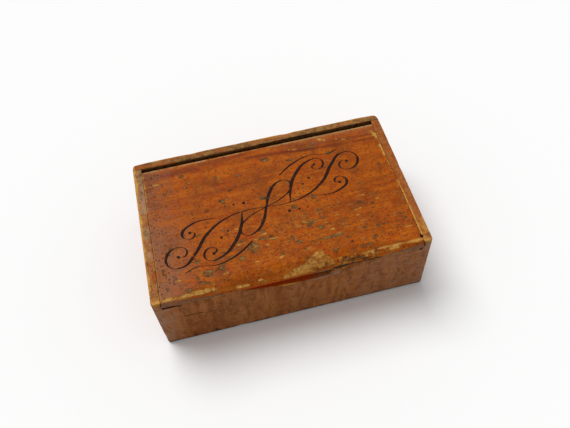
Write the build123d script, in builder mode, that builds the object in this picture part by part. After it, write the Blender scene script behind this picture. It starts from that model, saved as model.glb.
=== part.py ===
"""A small wooden pin box with a sliding lid.

Millimetres. The origin is on the table under the middle of the box, +X runs along its length,
+Y to the back and +Z up. The lid slides out over the front board, along -Y.
"""

import os
from math import cos, radians, sin

from build123d import *

# Outer size
box_length = 100.0
box_depth = 63.0
box_height = 31.0

# Boards
face_board = 3.1          # thickness of the front and back boards
end_board = 5.0           # thickness of the end boards below the lid
bottom_board_height = 3.0
face_rabbet = 1.5         # how far the bottom board runs in under the front and back boards
end_rabbet = 2.0          # and under each end board

# Rounding worn and sanded on the outside of the glued box
front_corner_radius = 1.0
back_corner_radius = 1.5
rim_radius = 0.45
foot_radius = 0.8

# Dovetailed groove of the lid
rail_width = 3.3          # top of an end board beside the lid
undercut = 0.8            # how much wider the groove is at its floor
groove_height = 4.0

# Lid
side_play = 0.2
floor_play = 0.1
back_gap = 1.7            # the lid stands this far off the back board, as it is at rest
lid_foot_radius = 1.2
lid_arris = 0.3

# Thumb scoop in the front board, and the thumb bevel that wear has made of the lid's front edge
grip_centre = 8.5         # both lie to the right of the middle
scoop_depth = 4.15
scoop_left = 29.0         # a long slope on the left of its deepest point
scoop_right = 16.0        # and a steeper one on the right
bevel_radius = 400.0
bevel_bite = 2.6
bevel_slope = 36.0        # degrees down from level

# Brads
head_radius = 0.55
head_height = 0.35
shank_radius = 0.38
shank_length = 8.0
point_length = 1.0
corner_brad_heights = (12.5, 21.5)
bottom_brad_spacing = 36.0

# Derived places
half_length = box_length / 2
half_depth = box_depth / 2
inner_length = box_length - 2 * end_board
inner_depth = box_depth - 2 * face_board
groove_floor = box_height - groove_height
groove_top_half = half_length - rail_width
groove_floor_half = groove_top_half + undercut
groove_foot_radius = lid_foot_radius + side_play
lid_underside = groove_floor + floor_play
lid_back = half_depth - face_board - back_gap
bottom_length = inner_length + 2 * end_rabbet
bottom_depth = inner_depth + 2 * face_rabbet
scoop_floor = groove_floor - scoop_depth

# The outside of the glued box. Every board of the case is sanded to it.
with BuildPart() as envelope:
    Box(box_length, box_depth, box_height, align=(Align.CENTER, Align.CENTER, Align.MIN))
    fillet(envelope.edges().filter_by(Axis.Z).group_by(Axis.Y)[0], front_corner_radius)
    fillet(envelope.edges().filter_by(Axis.Z).group_by(Axis.Y)[-1], back_corner_radius)
    fillet(envelope.faces().sort_by(Axis.Z)[-1].edges(), rim_radius)
    fillet(envelope.faces().sort_by(Axis.Z)[0].edges(), foot_radius)

# One brad, its head flush with the plane z = 0 and its shank running down -Z.
with BuildPart() as brad:
    with BuildSketch(Plane.XZ):
        with BuildLine():
            Polyline(
                (0, 0),
                (head_radius, 0),
                (shank_radius, -head_height),
                (shank_radius, point_length - shank_length),
                (0, -shank_length),
                close=True,
            )
        make_face()
    revolve(axis=Axis.Z)

brad_x = half_length - end_board / 2
front_brad_places = [
    Plane(origin=(x, -half_depth, z), x_dir=(1, 0, 0), z_dir=(0, -1, 0))
    for x in (-brad_x, brad_x)
    for z in corner_brad_heights
]
back_brad_places = [
    Plane(origin=(x, half_depth, z), x_dir=(1, 0, 0), z_dir=(0, 1, 0))
    for x in (-brad_x, brad_x)
    for z in corner_brad_heights
]

# The bottom brads follow the rabbets that the bottom board lies in.
bottom_brad_y = (inner_depth + face_rabbet) / 2
bottom_brad_x = (inner_length + end_rabbet) / 2
bottom_brad_places = [
    Plane(origin=(x, y, 0), x_dir=(1, 0, 0), z_dir=(0, 0, -1))
    for y in (-bottom_brad_y, bottom_brad_y)
    for x in (-bottom_brad_spacing, 0, bottom_brad_spacing)
] + [
    Plane(origin=(x, 0, 0), x_dir=(1, 0, 0), z_dir=(0, 0, -1))
    for x in (-bottom_brad_x, bottom_brad_x)
]

# The room that the bottom board takes, let in between and under the four walls.
with BuildPart() as bottom_room:
    Box(bottom_length, bottom_depth, bottom_board_height, align=(Align.CENTER, Align.CENTER, Align.MIN))

# The room of the lid's groove, from the inside of the back board forwards and out at the front.
with BuildPart() as groove:
    with BuildSketch(Plane.XZ.offset(-inner_depth / 2)):
        with BuildLine():
            Polyline(
                (-groove_floor_half, groove_floor),
                (groove_floor_half, groove_floor),
                (groove_top_half, box_height),
                (-groove_top_half, box_height),
                close=True,
            )
        groove_profile = make_face()
        fillet(groove_profile.vertices().group_by(Axis.Y)[0], groove_foot_radius)
    extrude(amount=box_depth)

# Front board: the full length of the box over both ends, notched for the lid, with a thumb scoop.
with BuildPart() as front_board:
    add(envelope.part)
    split(bisect_by=Plane.XZ.offset(inner_depth / 2), keep=Keep.TOP)
    add(bottom_room.part, mode=Mode.SUBTRACT)
    add(groove.part, mode=Mode.SUBTRACT)
    with BuildSketch(Plane.XZ.offset(inner_depth / 2)):
        with BuildLine():
            TangentArc(
                (grip_centre, scoop_floor),
                (grip_centre - scoop_left, groove_floor),
                tangent=(-1, 0),
            )
            TangentArc(
                (grip_centre, scoop_floor),
                (grip_centre + scoop_right, groove_floor),
                tangent=(1, 0),
            )
            Polyline(
                (grip_centre - scoop_left, groove_floor),
                (grip_centre - scoop_left, box_height),
                (grip_centre + scoop_right, box_height),
                (grip_centre + scoop_right, groove_floor),
            )
        make_face()
    extrude(amount=face_board, mode=Mode.SUBTRACT)
    with Locations(*front_brad_places, *bottom_brad_places):
        add(brad.part, mode=Mode.SUBTRACT)
front_board.part.label = "front_board"

# Back board: the full length over both ends, and the full height.
with BuildPart() as back_board:
    add(envelope.part)
    split(bisect_by=Plane.XZ.offset(-inner_depth / 2), keep=Keep.BOTTOM)
    add(bottom_room.part, mode=Mode.SUBTRACT)
    with Locations(*back_brad_places, *bottom_brad_places):
        add(brad.part, mode=Mode.SUBTRACT)
back_board.part.label = "back_board"

# Left end: its top is a rail, undercut for the lid.
with BuildPart() as left_end:
    add(envelope.part)
    split(bisect_by=Plane.YZ.offset(-inner_length / 2), keep=Keep.BOTTOM)
    Box(
        box_length,
        inner_depth,
        box_height,
        align=(Align.CENTER, Align.CENTER, Align.MIN),
        mode=Mode.INTERSECT,
    )
    add(bottom_room.part, mode=Mode.SUBTRACT)
    add(groove.part, mode=Mode.SUBTRACT)
    with Locations(*front_brad_places, *back_brad_places, *bottom_brad_places):
        add(brad.part, mode=Mode.SUBTRACT)
left_end.part.label = "left_end"

# Right end: the mirror image of the left end.
with BuildPart() as right_end:
    mirror(left_end.part, about=Plane.YZ)
right_end.part.label = "right_end"

# Bottom board: let in flush with the feet of the four walls.
with BuildPart() as bottom_board:
    add(bottom_room.part)
    with Locations(*bottom_brad_places):
        add(brad.part, mode=Mode.SUBTRACT)
bottom_board.part.label = "bottom_board"

# Lid: a dovetailed panel, its front edge worn down to a broad thumb bevel over the scoop.
with BuildPart() as lid:
    with BuildSketch(Plane.XZ.offset(half_depth)):
        with BuildLine():
            Polyline(
                (-groove_floor_half + side_play, lid_underside),
                (groove_floor_half - side_play, lid_underside),
                (groove_top_half - side_play, box_height),
                (-groove_top_half + side_play, box_height),
                close=True,
            )
        lid_profile = make_face()
        fillet(lid_profile.vertices().group_by(Axis.Y)[0], lid_foot_radius)
    extrude(amount=-half_depth - lid_back)
    chamfer(lid.faces().sort_by(Axis.Z)[-1].edges().sort_by(Axis.Y)[-1], lid_arris)
    slope = radians(bevel_slope)
    bevel_lift = bevel_radius - bevel_bite
    bevel_plane = Plane(
        origin=(
            grip_centre,
            -half_depth - bevel_lift * sin(slope),
            box_height + bevel_lift * cos(slope),
        ),
        x_dir=(1, 0, 0),
        z_dir=(0, cos(slope), sin(slope)),
    )
    with BuildSketch(bevel_plane):
        Circle(bevel_radius)
    extrude(amount=box_depth, both=True, mode=Mode.SUBTRACT)
lid.part.label = "lid"

# Brads through the front and back boards into the ends.
with BuildPart() as corner_brads:
    with Locations(*front_brad_places, *back_brad_places):
        add(brad.part)
corner_brads.part.label = "corner_brads"

# Brads up through the bottom board into the four walls.
with BuildPart() as bottom_brads:
    with Locations(*bottom_brad_places):
        add(brad.part)
bottom_brads.part.label = "bottom_brads"

os.makedirs("parts", exist_ok=True)
export_step(front_board.part, "parts/front_board.step")
export_step(back_board.part, "parts/back_board.step")
export_step(left_end.part, "parts/left_end.step")
export_step(right_end.part, "parts/right_end.step")
export_step(bottom_board.part, "parts/bottom_board.step")
export_step(lid.part, "parts/lid.step")
export_step(corner_brads.part, "parts/corner_brads.step")
export_step(bottom_brads.part, "parts/bottom_brads.step")
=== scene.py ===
from functools import reduce
from math import cos, radians, sin

import bmesh
import bpy
import numpy as np
from mathutils import Matrix, Vector


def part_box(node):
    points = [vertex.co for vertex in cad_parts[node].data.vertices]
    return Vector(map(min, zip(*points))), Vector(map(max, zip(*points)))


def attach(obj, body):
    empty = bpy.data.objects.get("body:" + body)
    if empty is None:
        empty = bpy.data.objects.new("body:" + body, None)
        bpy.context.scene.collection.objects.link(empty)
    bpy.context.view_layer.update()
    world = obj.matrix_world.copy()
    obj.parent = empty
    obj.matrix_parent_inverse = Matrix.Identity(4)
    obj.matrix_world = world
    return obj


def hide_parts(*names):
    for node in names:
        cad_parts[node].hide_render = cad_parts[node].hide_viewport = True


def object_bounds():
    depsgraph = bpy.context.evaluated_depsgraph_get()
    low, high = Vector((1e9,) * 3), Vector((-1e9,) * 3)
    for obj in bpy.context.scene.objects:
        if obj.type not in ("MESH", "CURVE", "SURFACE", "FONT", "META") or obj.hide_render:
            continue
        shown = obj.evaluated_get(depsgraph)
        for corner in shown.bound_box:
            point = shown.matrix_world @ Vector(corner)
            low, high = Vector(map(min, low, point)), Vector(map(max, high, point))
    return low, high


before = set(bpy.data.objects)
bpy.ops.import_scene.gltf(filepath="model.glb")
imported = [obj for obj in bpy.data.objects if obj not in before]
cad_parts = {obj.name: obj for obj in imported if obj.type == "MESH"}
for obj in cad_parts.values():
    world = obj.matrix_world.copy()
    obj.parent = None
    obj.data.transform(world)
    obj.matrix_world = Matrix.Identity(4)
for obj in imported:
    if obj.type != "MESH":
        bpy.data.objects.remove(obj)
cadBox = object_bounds()

# Everything below is in millimetres until it is handed to Blender.
# x runs along the box from its middle, y to the back, z up from the table.
mm = 0.001


def nodeBox(node):
    low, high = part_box(node)
    return np.array(low) / mm, np.array(high) / mm


def nodePoints(node):
    return np.array([v.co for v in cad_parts[node].data.vertices]) / mm


def newObject(name, data):
    made = bpy.data.objects.new(name, data)
    bpy.context.scene.collection.objects.link(made)
    return made


boxLow, boxHigh = np.array(cadBox[0]) / mm, np.array(cadBox[1]) / mm
lidLow, lidHigh = nodeBox("lid")
frontLow, frontHigh = nodeBox("front_board")
backLow = nodeBox("back_board")[0]
bottomHigh = nodeBox("bottom_board")[1]
leftHigh = nodeBox("left_end")[1]
wellHalf = -leftHigh[0]                              # half the length of the room inside
seamY = leftHigh[1]                                  # where the front and back boards meet the ends


# Noise on points

noiseTable = np.random.default_rng(7).uniform(-1, 1, 8192)
noiseStrides = (1619, 31337, 6971)                   # spread the cells of the grid over the table
noiseSeedStride = 1013


def softNoise(points, size, seed=0):                 # -1 to 1, with features of about size
    place = points / np.asarray(size, float)
    cell = np.floor(place).astype(np.int64)
    part = place - cell
    part = part * part * (3 - 2 * part)
    total = np.zeros(len(points))
    for corner in np.ndindex(2, 2, 2):
        weight = np.prod(np.where(corner, part, 1 - part), axis=1)
        entry = (cell + corner) @ noiseStrides + seed * noiseSeedStride
        total += weight * noiseTable[entry % len(noiseTable)]
    return total


def layeredNoise(points, size, seed=0, layers=3):
    total, share = np.zeros(len(points)), 0
    for layer in range(layers):
        total += softNoise(points, np.asarray(size, float) / 2**layer, seed + layer) / 2**layer
        share += 1 / 2**layer
    return total / share


def smooth(value, low, high):                        # 0 at low, 1 at high
    part = np.clip((value - low) / (high - low), 0, 1)
    return part * part * (3 - 2 * part)


def spanned(values, spans):                          # 1 where every value has reached the end of its span
    return np.prod([smooth(value, *span) for value, span in zip(values, spans)], axis=0)


# Node trees, for Geometry Nodes and for materials

def socketOf(sockets, key):
    if isinstance(key, int):
        return sockets[key]
    return next(socket for socket in sockets if key in (socket.identifier, socket.name))


class Signal:                                        # a socket; an expression on it adds Math nodes
    def __init__(self, maker, socket):
        self.maker = maker
        self.socket = socket

    def __add__(self, other):
        return self.maker.maths("ADD", self, other)

    def __radd__(self, other):
        return self.maker.maths("ADD", other, self)

    def __sub__(self, other):
        return self.maker.maths("SUBTRACT", self, other)

    def __rsub__(self, other):
        return self.maker.maths("SUBTRACT", other, self)

    def __mul__(self, other):
        return self.maker.maths("MULTIPLY", self, other)

    def __rmul__(self, other):
        return self.maker.maths("MULTIPLY", other, self)

    def __truediv__(self, other):
        return self.maker.maths("DIVIDE", self, other)

    def __rtruediv__(self, other):
        return self.maker.maths("DIVIDE", other, self)

    def __neg__(self):
        return self.maker.maths("MULTIPLY", self, -1.0)


class NodeMaker:
    def __init__(self, tree):
        self.tree = tree

    def make(self, kind, settings=None, sockets=None, result=0):
        node = self.tree.nodes.new(kind)
        for key, value in (settings or {}).items():
            setattr(node, key, value)
        for key, value in (sockets or {}).items():
            entry = socketOf(node.inputs, key)
            for part in value if isinstance(value, list) else [value]:
                if isinstance(part, Signal):
                    self.tree.links.new(part.socket, entry)
                else:
                    entry.default_value = part
        if not node.outputs:
            return node
        return Signal(self, socketOf(node.outputs, result))

    def maths(self, operation, first, second=0.0):
        return self.make("ShaderNodeMath", {"operation": operation}, {0: first, 1: second})

    def most(self, first, second):
        return self.maths("MAXIMUM", first, second)

    def vector(self, x, y, z):
        return self.make("ShaderNodeCombineXYZ", {}, {0: x, 1: y, 2: z})


class Shapes(NodeMaker):                             # a Geometry Nodes tree with named inputs
    def __init__(self, name, inputs):
        super().__init__(bpy.data.node_groups.new(name, "GeometryNodeTree"))
        self.identifiers = {}
        self.addInput("shape", "Geometry")
        for key, kind in inputs.items():
            self.addInput(key, kind)
        self.tree.interface.new_socket(name="shape", in_out="OUTPUT", socket_type="NodeSocketGeometry")
        self.entry = self.tree.nodes.new("NodeGroupInput")

    def addInput(self, key, kind):
        socket = self.tree.interface.new_socket(name=key, in_out="INPUT", socket_type="NodeSocket" + kind)
        self.identifiers[key] = socket.identifier

    def given(self, key):
        return Signal(self, socketOf(self.entry.outputs, key))

    def finish(self, shape, material):
        real = self.make("GeometryNodeRealizeInstances", {}, {0: shape})
        dressed = self.make("GeometryNodeSetMaterial", {}, {"Geometry": real, "Material": material})
        self.make("NodeGroupOutput", {}, {0: dressed})

    def applyTo(self, piece, values):
        modifier = piece.modifiers.new(self.tree.name, "NODES")
        modifier.node_group = self.tree
        for key, value in values.items():
            modifier[self.identifiers[key]] = value


def plainMesh(piece, name):                          # what the modifiers make of a piece, as a plain mesh
    made = bpy.data.meshes.new_from_object(piece.evaluated_get(bpy.context.evaluated_depsgraph_get()))
    made.name = name
    bpy.data.objects.remove(piece)
    return newObject(name, made)


# Wood, varnish and iron

def paintColour(*parts):                             # red, green and blue as a picture editor gives them
    shares = [part / 255 for part in parts]
    linear = [share / 12.92 if share < 0.04045 else ((share + 0.055) / 1.055)**2.4 for share in shares]
    return (*linear, 1.0)


class Finish(NodeMaker):
    def __init__(self, name):
        self.material = bpy.data.materials.new(name)
        self.material.use_nodes = True
        self.material.node_tree.nodes.clear()
        super().__init__(self.material.node_tree)
        self.place = self.make("ShaderNodeTexCoord", {}, {}, "Object")

    def painted(self, layer):
        return self.make("ShaderNodeAttribute", {"attribute_name": layer}, {}, "Fac")

    def placed(self, size, shift):                   # size of a feature in millimetres
        scale = tuple(1 / (part * mm) for part in size)
        sockets = {"Vector": self.place, "Location": (shift,) * 3, "Scale": scale}
        return self.make("ShaderNodeMapping", {}, sockets)

    def noise(self, size, detail=3.0, rough=0.55, distortion=0.0, shift=0.0):
        sockets = {"Vector": self.placed(size, shift), "Scale": 1.0, "Detail": detail,
                   "Roughness": rough, "Distortion": distortion}
        return self.make("ShaderNodeTexNoise", {}, sockets, "Fac")

    def specks(self, size, radius, share, shift=0.0):    # round specks in a share of the cells
        cells = self.make("ShaderNodeTexVoronoi", {}, {"Vector": self.placed(size, shift), "Scale": 1.0})
        cellColour = Signal(self, cells.socket.node.outputs["Color"])
        chosen = self.make("ShaderNodeSeparateColor", {}, {0: cellColour})
        return (1 - self.step(cells, radius * 0.6, radius)) * self.step(chosen, 1 - share, 1 - share + 0.02)

    def step(self, signal, low, high):
        sockets = {"Value": signal, "From Min": low, "From Max": high}
        return self.make("ShaderNodeMapRange", {"interpolation_type": "SMOOTHSTEP"}, sockets, "Result")

    def mix(self, share, first, second):
        sockets = {"Factor_Float": share, "A_Color": first, "B_Color": second}
        return self.make("ShaderNodeMix", {"data_type": "RGBA"}, sockets, "Result_Color")

    def layered(self, colour, coats):                # each coat lies over the ones before it
        for share, coat in coats:
            colour = self.mix(share, colour, coat)
        return colour

    def shade(self, colour, amount):                 # a colour made lighter or darker
        return self.make("ShaderNodeVectorMath", {"operation": "SCALE"}, {0: colour, "Scale": amount})

    def bump(self, height, distance):                # distance in millimetres
        sockets = {"Height": height, "Strength": 1.0, "Distance": distance * mm}
        return self.make("ShaderNodeBump", {}, sockets, "Normal")

    def surface(self, sockets):
        shader = self.make("ShaderNodeBsdfPrincipled", {}, sockets, "BSDF")
        self.make("ShaderNodeOutputMaterial", {}, {"Surface": shader})
        return self.material


# Colours are those that the wood shows in plain daylight.
caseLook = {
    "grain": "x",
    "light": paintColour(184, 114, 60),
    "dark": paintColour(140, 82, 40),
    "ringShare": 0.22,
    "flame": paintColour(146, 76, 28),
    "flameShare": 0.9,
    "patch": paintColour(128, 78, 46),
    "patchShare": 0.5,
    "streak": paintColour(122, 66, 24),
    "streaks": 0.62,
    "mottle": paintColour(182, 122, 76),
    "mottling": 0.38,
    "bloom": paintColour(150, 100, 64),
    "hazing": 0.2,
    "pore": paintColour(66, 38, 20),
    "face": paintColour(150, 98, 64),
    "faded": paintColour(160, 124, 82),
    "fadedDeep": paintColour(118, 86, 54),
    "fadedRim": 0.0,
    "bare": paintColour(212, 156, 76),
    "bareDeep": paintColour(164, 106, 42),
    "raw": paintColour(188, 148, 98),
    "rawDeep": paintColour(146, 104, 60),
    "heart": paintColour(154, 78, 26),
    "plum": paintColour(176, 136, 112),
    # grime is the colour of dirt, and also of painted shade in gaps, holes and under the lid
    "grime": paintColour(40, 25, 14),
    "warm": paintColour(206, 72, 6),
    "endGrain": paintColour(104, 62, 34),
    "dashes": 0.3,
    "blots": 0.2,
    "specks": 0.25,
    "spread": 1.0,               # how much of the mottling and specks shows away from the marked places
    "rough": 0.5,
    "gloss": 0.035,
    "bump": 0.045,               # millimetres
}

lidLook = dict(
    caseLook,
    light=paintColour(184, 94, 13),
    dark=paintColour(138, 60, 9),
    ringShare=0.6,
    flame=paintColour(168, 66, 8),
    flameShare=0.55,
    patch=paintColour(112, 57, 20),
    patchShare=0.68,
    streaks=0.0,
    mottle=paintColour(138, 54, 14),
    mottling=0.6,
    bloom=paintColour(156, 116, 64),
    hazing=0.42,
    pore=paintColour(70, 40, 24),
    faded=paintColour(140, 112, 62),
    fadedDeep=paintColour(84, 66, 40),
    fadedRim=0.7,
    bare=paintColour(222, 166, 84),
    bareDeep=paintColour(158, 102, 38),
    heart=paintColour(110, 44, 24),
    plum=paintColour(140, 96, 70),
    dashes=1.0,
    blots=1.0,
    specks=1.0,
    rough=0.42,
)

railLook = dict(
    caseLook,
    grain="y",
    ringShare=0.5,
    patchShare=0.7,
    streaks=0.35,
    mottling=0.7,
    dashes=1.1,
    blots=0.8,
    specks=1.15,
    spread=0.3,
)

backLook = dict(
    caseLook,
    patchShare=0.6,
    streaks=0.3,
    mottling=0.5,
    faded=paintColour(150, 114, 66),
    fadedDeep=paintColour(104, 76, 44),
    dashes=1.0,
    blots=0.5,
    specks=0.6,
)


# Each pattern in the wood: the size of its features in millimetres, detail, roughness, distortion, and a
# shift that sets it apart from the others. A size of two numbers is along and across the grain.
woodPatterns = {
    "broad": ((9, 9, 9), 4, 0.62, 0.0, 0.0),
    "rings": ((26, 1.9), 4, 0.66, 0.5, 0.0),
    "fibres": ((6, 0.34), 3, 0.65, 0.1, 3.0),
    "flame": ((4.4, 4.4, 26), 3, 0.55, 0.7, 5.0),
    "streaks": ((2.3, 2.3, 8.0), 3, 0.55, 0.4, 31.0),
    "fine": ((0.7, 0.7, 0.7), 4, 0.7, 0.4, 7.0),
    "coarse": ((2.4, 2.4, 2.4), 4, 0.68, 0.6, 9.0),
    "pores": ((1.3, 0.2), 2, 0.6, 0.0, 11.0),
    "dashes": ((1.5, 0.42), 3, 0.7, 0.4, 13.0),
    "blots": ((1.9, 1.2, 1.9), 4, 0.62, 0.9, 15.0),
    "haze": ((1.1, 0.6), 4, 0.72, 0.4, 27.0),
}

# Round specks: the size of their cells, their radius and the share of cells that hold one, and a shift.
woodSpecks = {
    "nicks": ((2.2, 1.5, 2.2), 0.2, 0.22, 17.0),
    "specks": ((1.5, 0.9), 0.33, 0.62, 23.0),
    "pits": ((1.2, 1.2, 1.2), 0.31, 0.5, 19.0),
}


def woodFinish(name, look):
    f = Finish(name)

    def onGrain(size):
        if len(size) == 3:
            return size
        along, across = size
        return (along, across, across) if look["grain"] == "x" else (across, along, across)

    def pattern(key):
        size, *rest = woodPatterns[key]
        return f.noise(onGrain(size), *rest)

    def speckled(key):
        size, *rest = woodSpecks[key]
        return f.specks(onGrain(size), *rest)

    broad, rings, fibres, flame = pattern("broad"), pattern("rings"), pattern("fibres"), pattern("flame")
    streaks, fine, coarse, haze = pattern("streaks"), pattern("fine"), pattern("coarse"), pattern("haze")
    pores = f.step(pattern("pores"), 0.58, 0.68)
    dash = f.step(pattern("dashes"), 0.60, 0.67)
    blot = f.step(pattern("blots"), 0.60, 0.66)
    marked = f.painted("marked")
    strong = look["spread"] + marked * (1 - look["spread"])
    ragged = (fine * 0.45 + coarse * 0.55 - 0.5) * 2.0

    def worn(layer, hard):                           # a painted layer with a ragged edge
        return f.step(f.painted(layer) + ragged, 0.5 - hard, 0.5 + hard)

    bare, faded, grime = worn("bare", 0.3), worn("faded", 0.2), worn("grime", 0.22)
    raw = f.painted("raw")
    nicks = speckled("nicks") * f.step(fine, 0.48, 0.56)
    specks = speckled("specks") * f.step(fine, 0.42, 0.54)
    pits = speckled("pits") * f.painted("pitted")
    rim = faded * (1 - worn("faded", 0.45)) * 2.6 * look["fadedRim"]
    dulled = f.mix(f.step(coarse, 0.42, 0.62), look["fadedDeep"], look["faded"])
    golden = f.step(f.painted("bare") * 0.5 + coarse * 0.55 + fibres * 0.3, 0.62, 1.0)
    thin = 0.66 + f.step(fine, 0.4, 0.56) * 0.26
    rawWood = f.mix(f.step(rings * 0.6 + fibres * 0.4, 0.4, 0.62), look["raw"], look["rawDeep"])
    underWood = f.mix(f.step(broad, 0.4, 0.65), look["rawDeep"], look["patch"])

    colour = f.layered(look["light"], [
        (f.step(rings, 0.36, 0.64) * look["ringShare"], look["dark"]),
        (f.step(flame, 0.38, 0.72) * look["flameShare"], look["flame"]),
        (f.step(broad, 0.46, 0.72) * look["patchShare"], look["patch"]),
        (f.step(streaks, 0.5, 0.62) * look["streaks"], look["streak"]),
        (f.step(coarse, 0.47, 0.62) * strong * look["mottling"], look["mottle"]),
        (f.step(haze, 0.55, 0.62) * look["hazing"], look["bloom"]),
        (f.painted("heart") * f.step(rings + fibres * 0.4, 0.4, 0.75), look["heart"]),
        (f.step(f.painted("plum") + ragged * 1.3, 0.1, 1.1) * 0.85, look["plum"]),
        (f.painted("face"), look["face"]),
        (dash * (0.32 + marked * 0.6) * look["dashes"], look["pore"]),
        (blot * (0.16 + marked * 0.7) * look["blots"], look["faded"]),
        (faded * 0.8, dulled),
        (f.maths("MINIMUM", rim, 0.6), look["pore"]),
        (f.most(bare * thin, nicks * 0.8), f.mix(golden, look["bareDeep"], look["bare"])),
        (raw, rawWood),
        (f.painted("under") * 0.7, underWood),
        (f.painted("endGrain") * (0.45 + f.step(coarse, 0.42, 0.6) * 0.4), look["endGrain"]),
        (f.painted("warm"), look["warm"]),
    ])
    colour = f.layered(f.shade(colour, 0.66 + fibres * 0.38 + fine * 0.3), [
        (pores * 0.4, look["pore"]),
        (specks * strong * look["specks"] * 0.75, look["pore"]),
        (pits * 0.85, look["grime"]),
        (grime * 0.9, look["grime"]),
    ])
    if "ink" in look:
        patchy = fine * 0.5 + coarse * 0.35 + fibres * 0.15
        kept = f.step(patchy, look["inkWorn"] - 0.03, look["inkWorn"] + 0.03)
        colour = f.mix(kept * 0.95, colour, look["ink"])

    rubbed = f.most(f.most(bare, raw), faded * 0.6)
    rough = look["rough"] + rubbed * 0.28 + (fine - 0.5) * 0.25 + pores * 0.1
    height = fibres * 0.5 + fine * 0.35 - pores * 0.35 - rubbed * 0.25 - pits * 0.8 - dash * 0.2
    return f.surface({"Base Color": colour, "Roughness": rough, "Normal": f.bump(height, look["bump"]),
                      "Specular IOR Level": look["gloss"]})


ironLook = {
    "iron": paintColour(84, 62, 46),
    "dull": paintColour(58, 42, 32),
    "rust": paintColour(104, 64, 38),
    "metallic": 0.5,
    "rough": 0.5,
    "gloss": 0.2,
    "bump": 0.03,                # millimetres
}

stainedLook = dict(                                  # the corner brads were stained over with the wood
    ironLook,
    iron=paintColour(146, 100, 68),
    dull=paintColour(120, 80, 54),
    rust=paintColour(150, 96, 58),
    metallic=0.0,
)


def ironFinish(name, look):
    f = Finish(name)
    coarse = f.noise((0.5, 0.5, 0.5), 4, 0.7)
    fine = f.noise((0.16, 0.16, 0.16), 3, 0.6, 0.0, 4.0)
    rust = f.step(coarse, 0.52, 0.62)
    colour = f.mix(rust, f.mix(f.step(fine, 0.4, 0.6), look["dull"], look["iron"]), look["rust"])
    return f.surface({"Base Color": colour, "Metallic": look["metallic"] - rust * look["metallic"],
                      "Roughness": look["rough"] + rust * 0.35, "Specular IOR Level": look["gloss"],
                      "Normal": f.bump(coarse * 0.6 + fine * 0.4, look["bump"])})


caseAlong = woodFinish("caseWoodAlong", caseLook)
caseAcross = woodFinish("caseWoodAcross", railLook)
caseBack = woodFinish("caseWoodBack", backLook)
lidWood = woodFinish("lidWood", lidLook)
bradIron = ironFinish("bradIron", ironLook)
stainedIron = ironFinish("stainedIron", stainedLook)
print("finishes made")


def dress(piece, material, body, slot, *nodes):
    piece.data.materials.clear()
    piece.data.materials.append(material)
    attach(piece, body)
    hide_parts(*nodes)


# Boards as fine meshes

boardValues = {
    "weld": 0.002,
    "flatAngle": 0.3,            # degrees: flatter edges than this are dissolved
    "sharpAngle": 35,            # sharper edges than this are broken
    "arris": 0.08,               # by this much
    "arrisSegments": 2,
    "edgeSteps": (0.35, 0.75, 1.25, 1.9, 2.8, 4.0),   # cuts near the ends of a board, then coarse ones
    "cutSnap": 0.01,             # a cut this near a corner goes through it
    "bradRoom": 0.7,             # edges this near a brad are its hole, which stays sharp
    "seamRoom": 0.05,            # edges this near a glued joint stay sharp too
    "openSeamFrom": 45,          # but not at the back right corner, where the joint shows as a line
}


def mergedCopy(node):                                # a CAD node's mesh with its doubles merged
    bm = bmesh.new()
    bm.from_mesh(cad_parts[node].data)
    bmesh.ops.remove_doubles(bm, verts=bm.verts, dist=boardValues["weld"] * mm)
    return bm


def bradPlaces(node):                                # middle of each brad's head, and the way it faces
    bm = mergedCopy(node)
    left, places = set(bm.verts), []
    while left:
        group, fresh = set(), {left.pop()}
        while fresh:
            group |= fresh
            fresh = {e.other_vert(v) for v in fresh for e in v.link_edges} - group
        left -= group
        points = np.array([v.co for v in group]) / mm
        low, high = points.min(0), points.max(0)
        axis = int(np.argmax(high - low))
        outwards = 1 if axis == 1 and low[1] > 0 else -1
        head = (low + high) / 2
        head[axis] = high[axis] if outwards > 0 else low[axis]
        facing = np.zeros(3)
        facing[axis] = outwards
        places.append((head, facing))
    bm.free()
    return sorted(places, key=lambda place: tuple(np.round(place[0], 2)))


cornerBradPlaces = bradPlaces("corner_brads")
bottomBradPlaces = bradPlaces("bottom_brads")


def staysSharp(point):                               # edges of brad holes and of glued joints
    for head, facing in cornerBradPlaces + bottomBradPlaces:
        offset = point - head
        if np.linalg.norm(offset - facing * (offset @ facing)) < boardValues["bradRoom"]:
            return True
    openSeam = point[0] > boardValues["openSeamFrom"] and point[1] > 0
    return abs(abs(point[1]) - seamY) < boardValues["seamRoom"] and not openSeam


def cutPlaces(low, high, coarse):
    near = [step for step in boardValues["edgeSteps"] if step < (high - low) / 2]
    middle = np.linspace(low + near[-1], high - near[-1], max(2, int((high - low) / coarse)))
    return [low + step for step in near[:-1]] + list(middle) + [high - step for step in near[:-1]]


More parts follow.
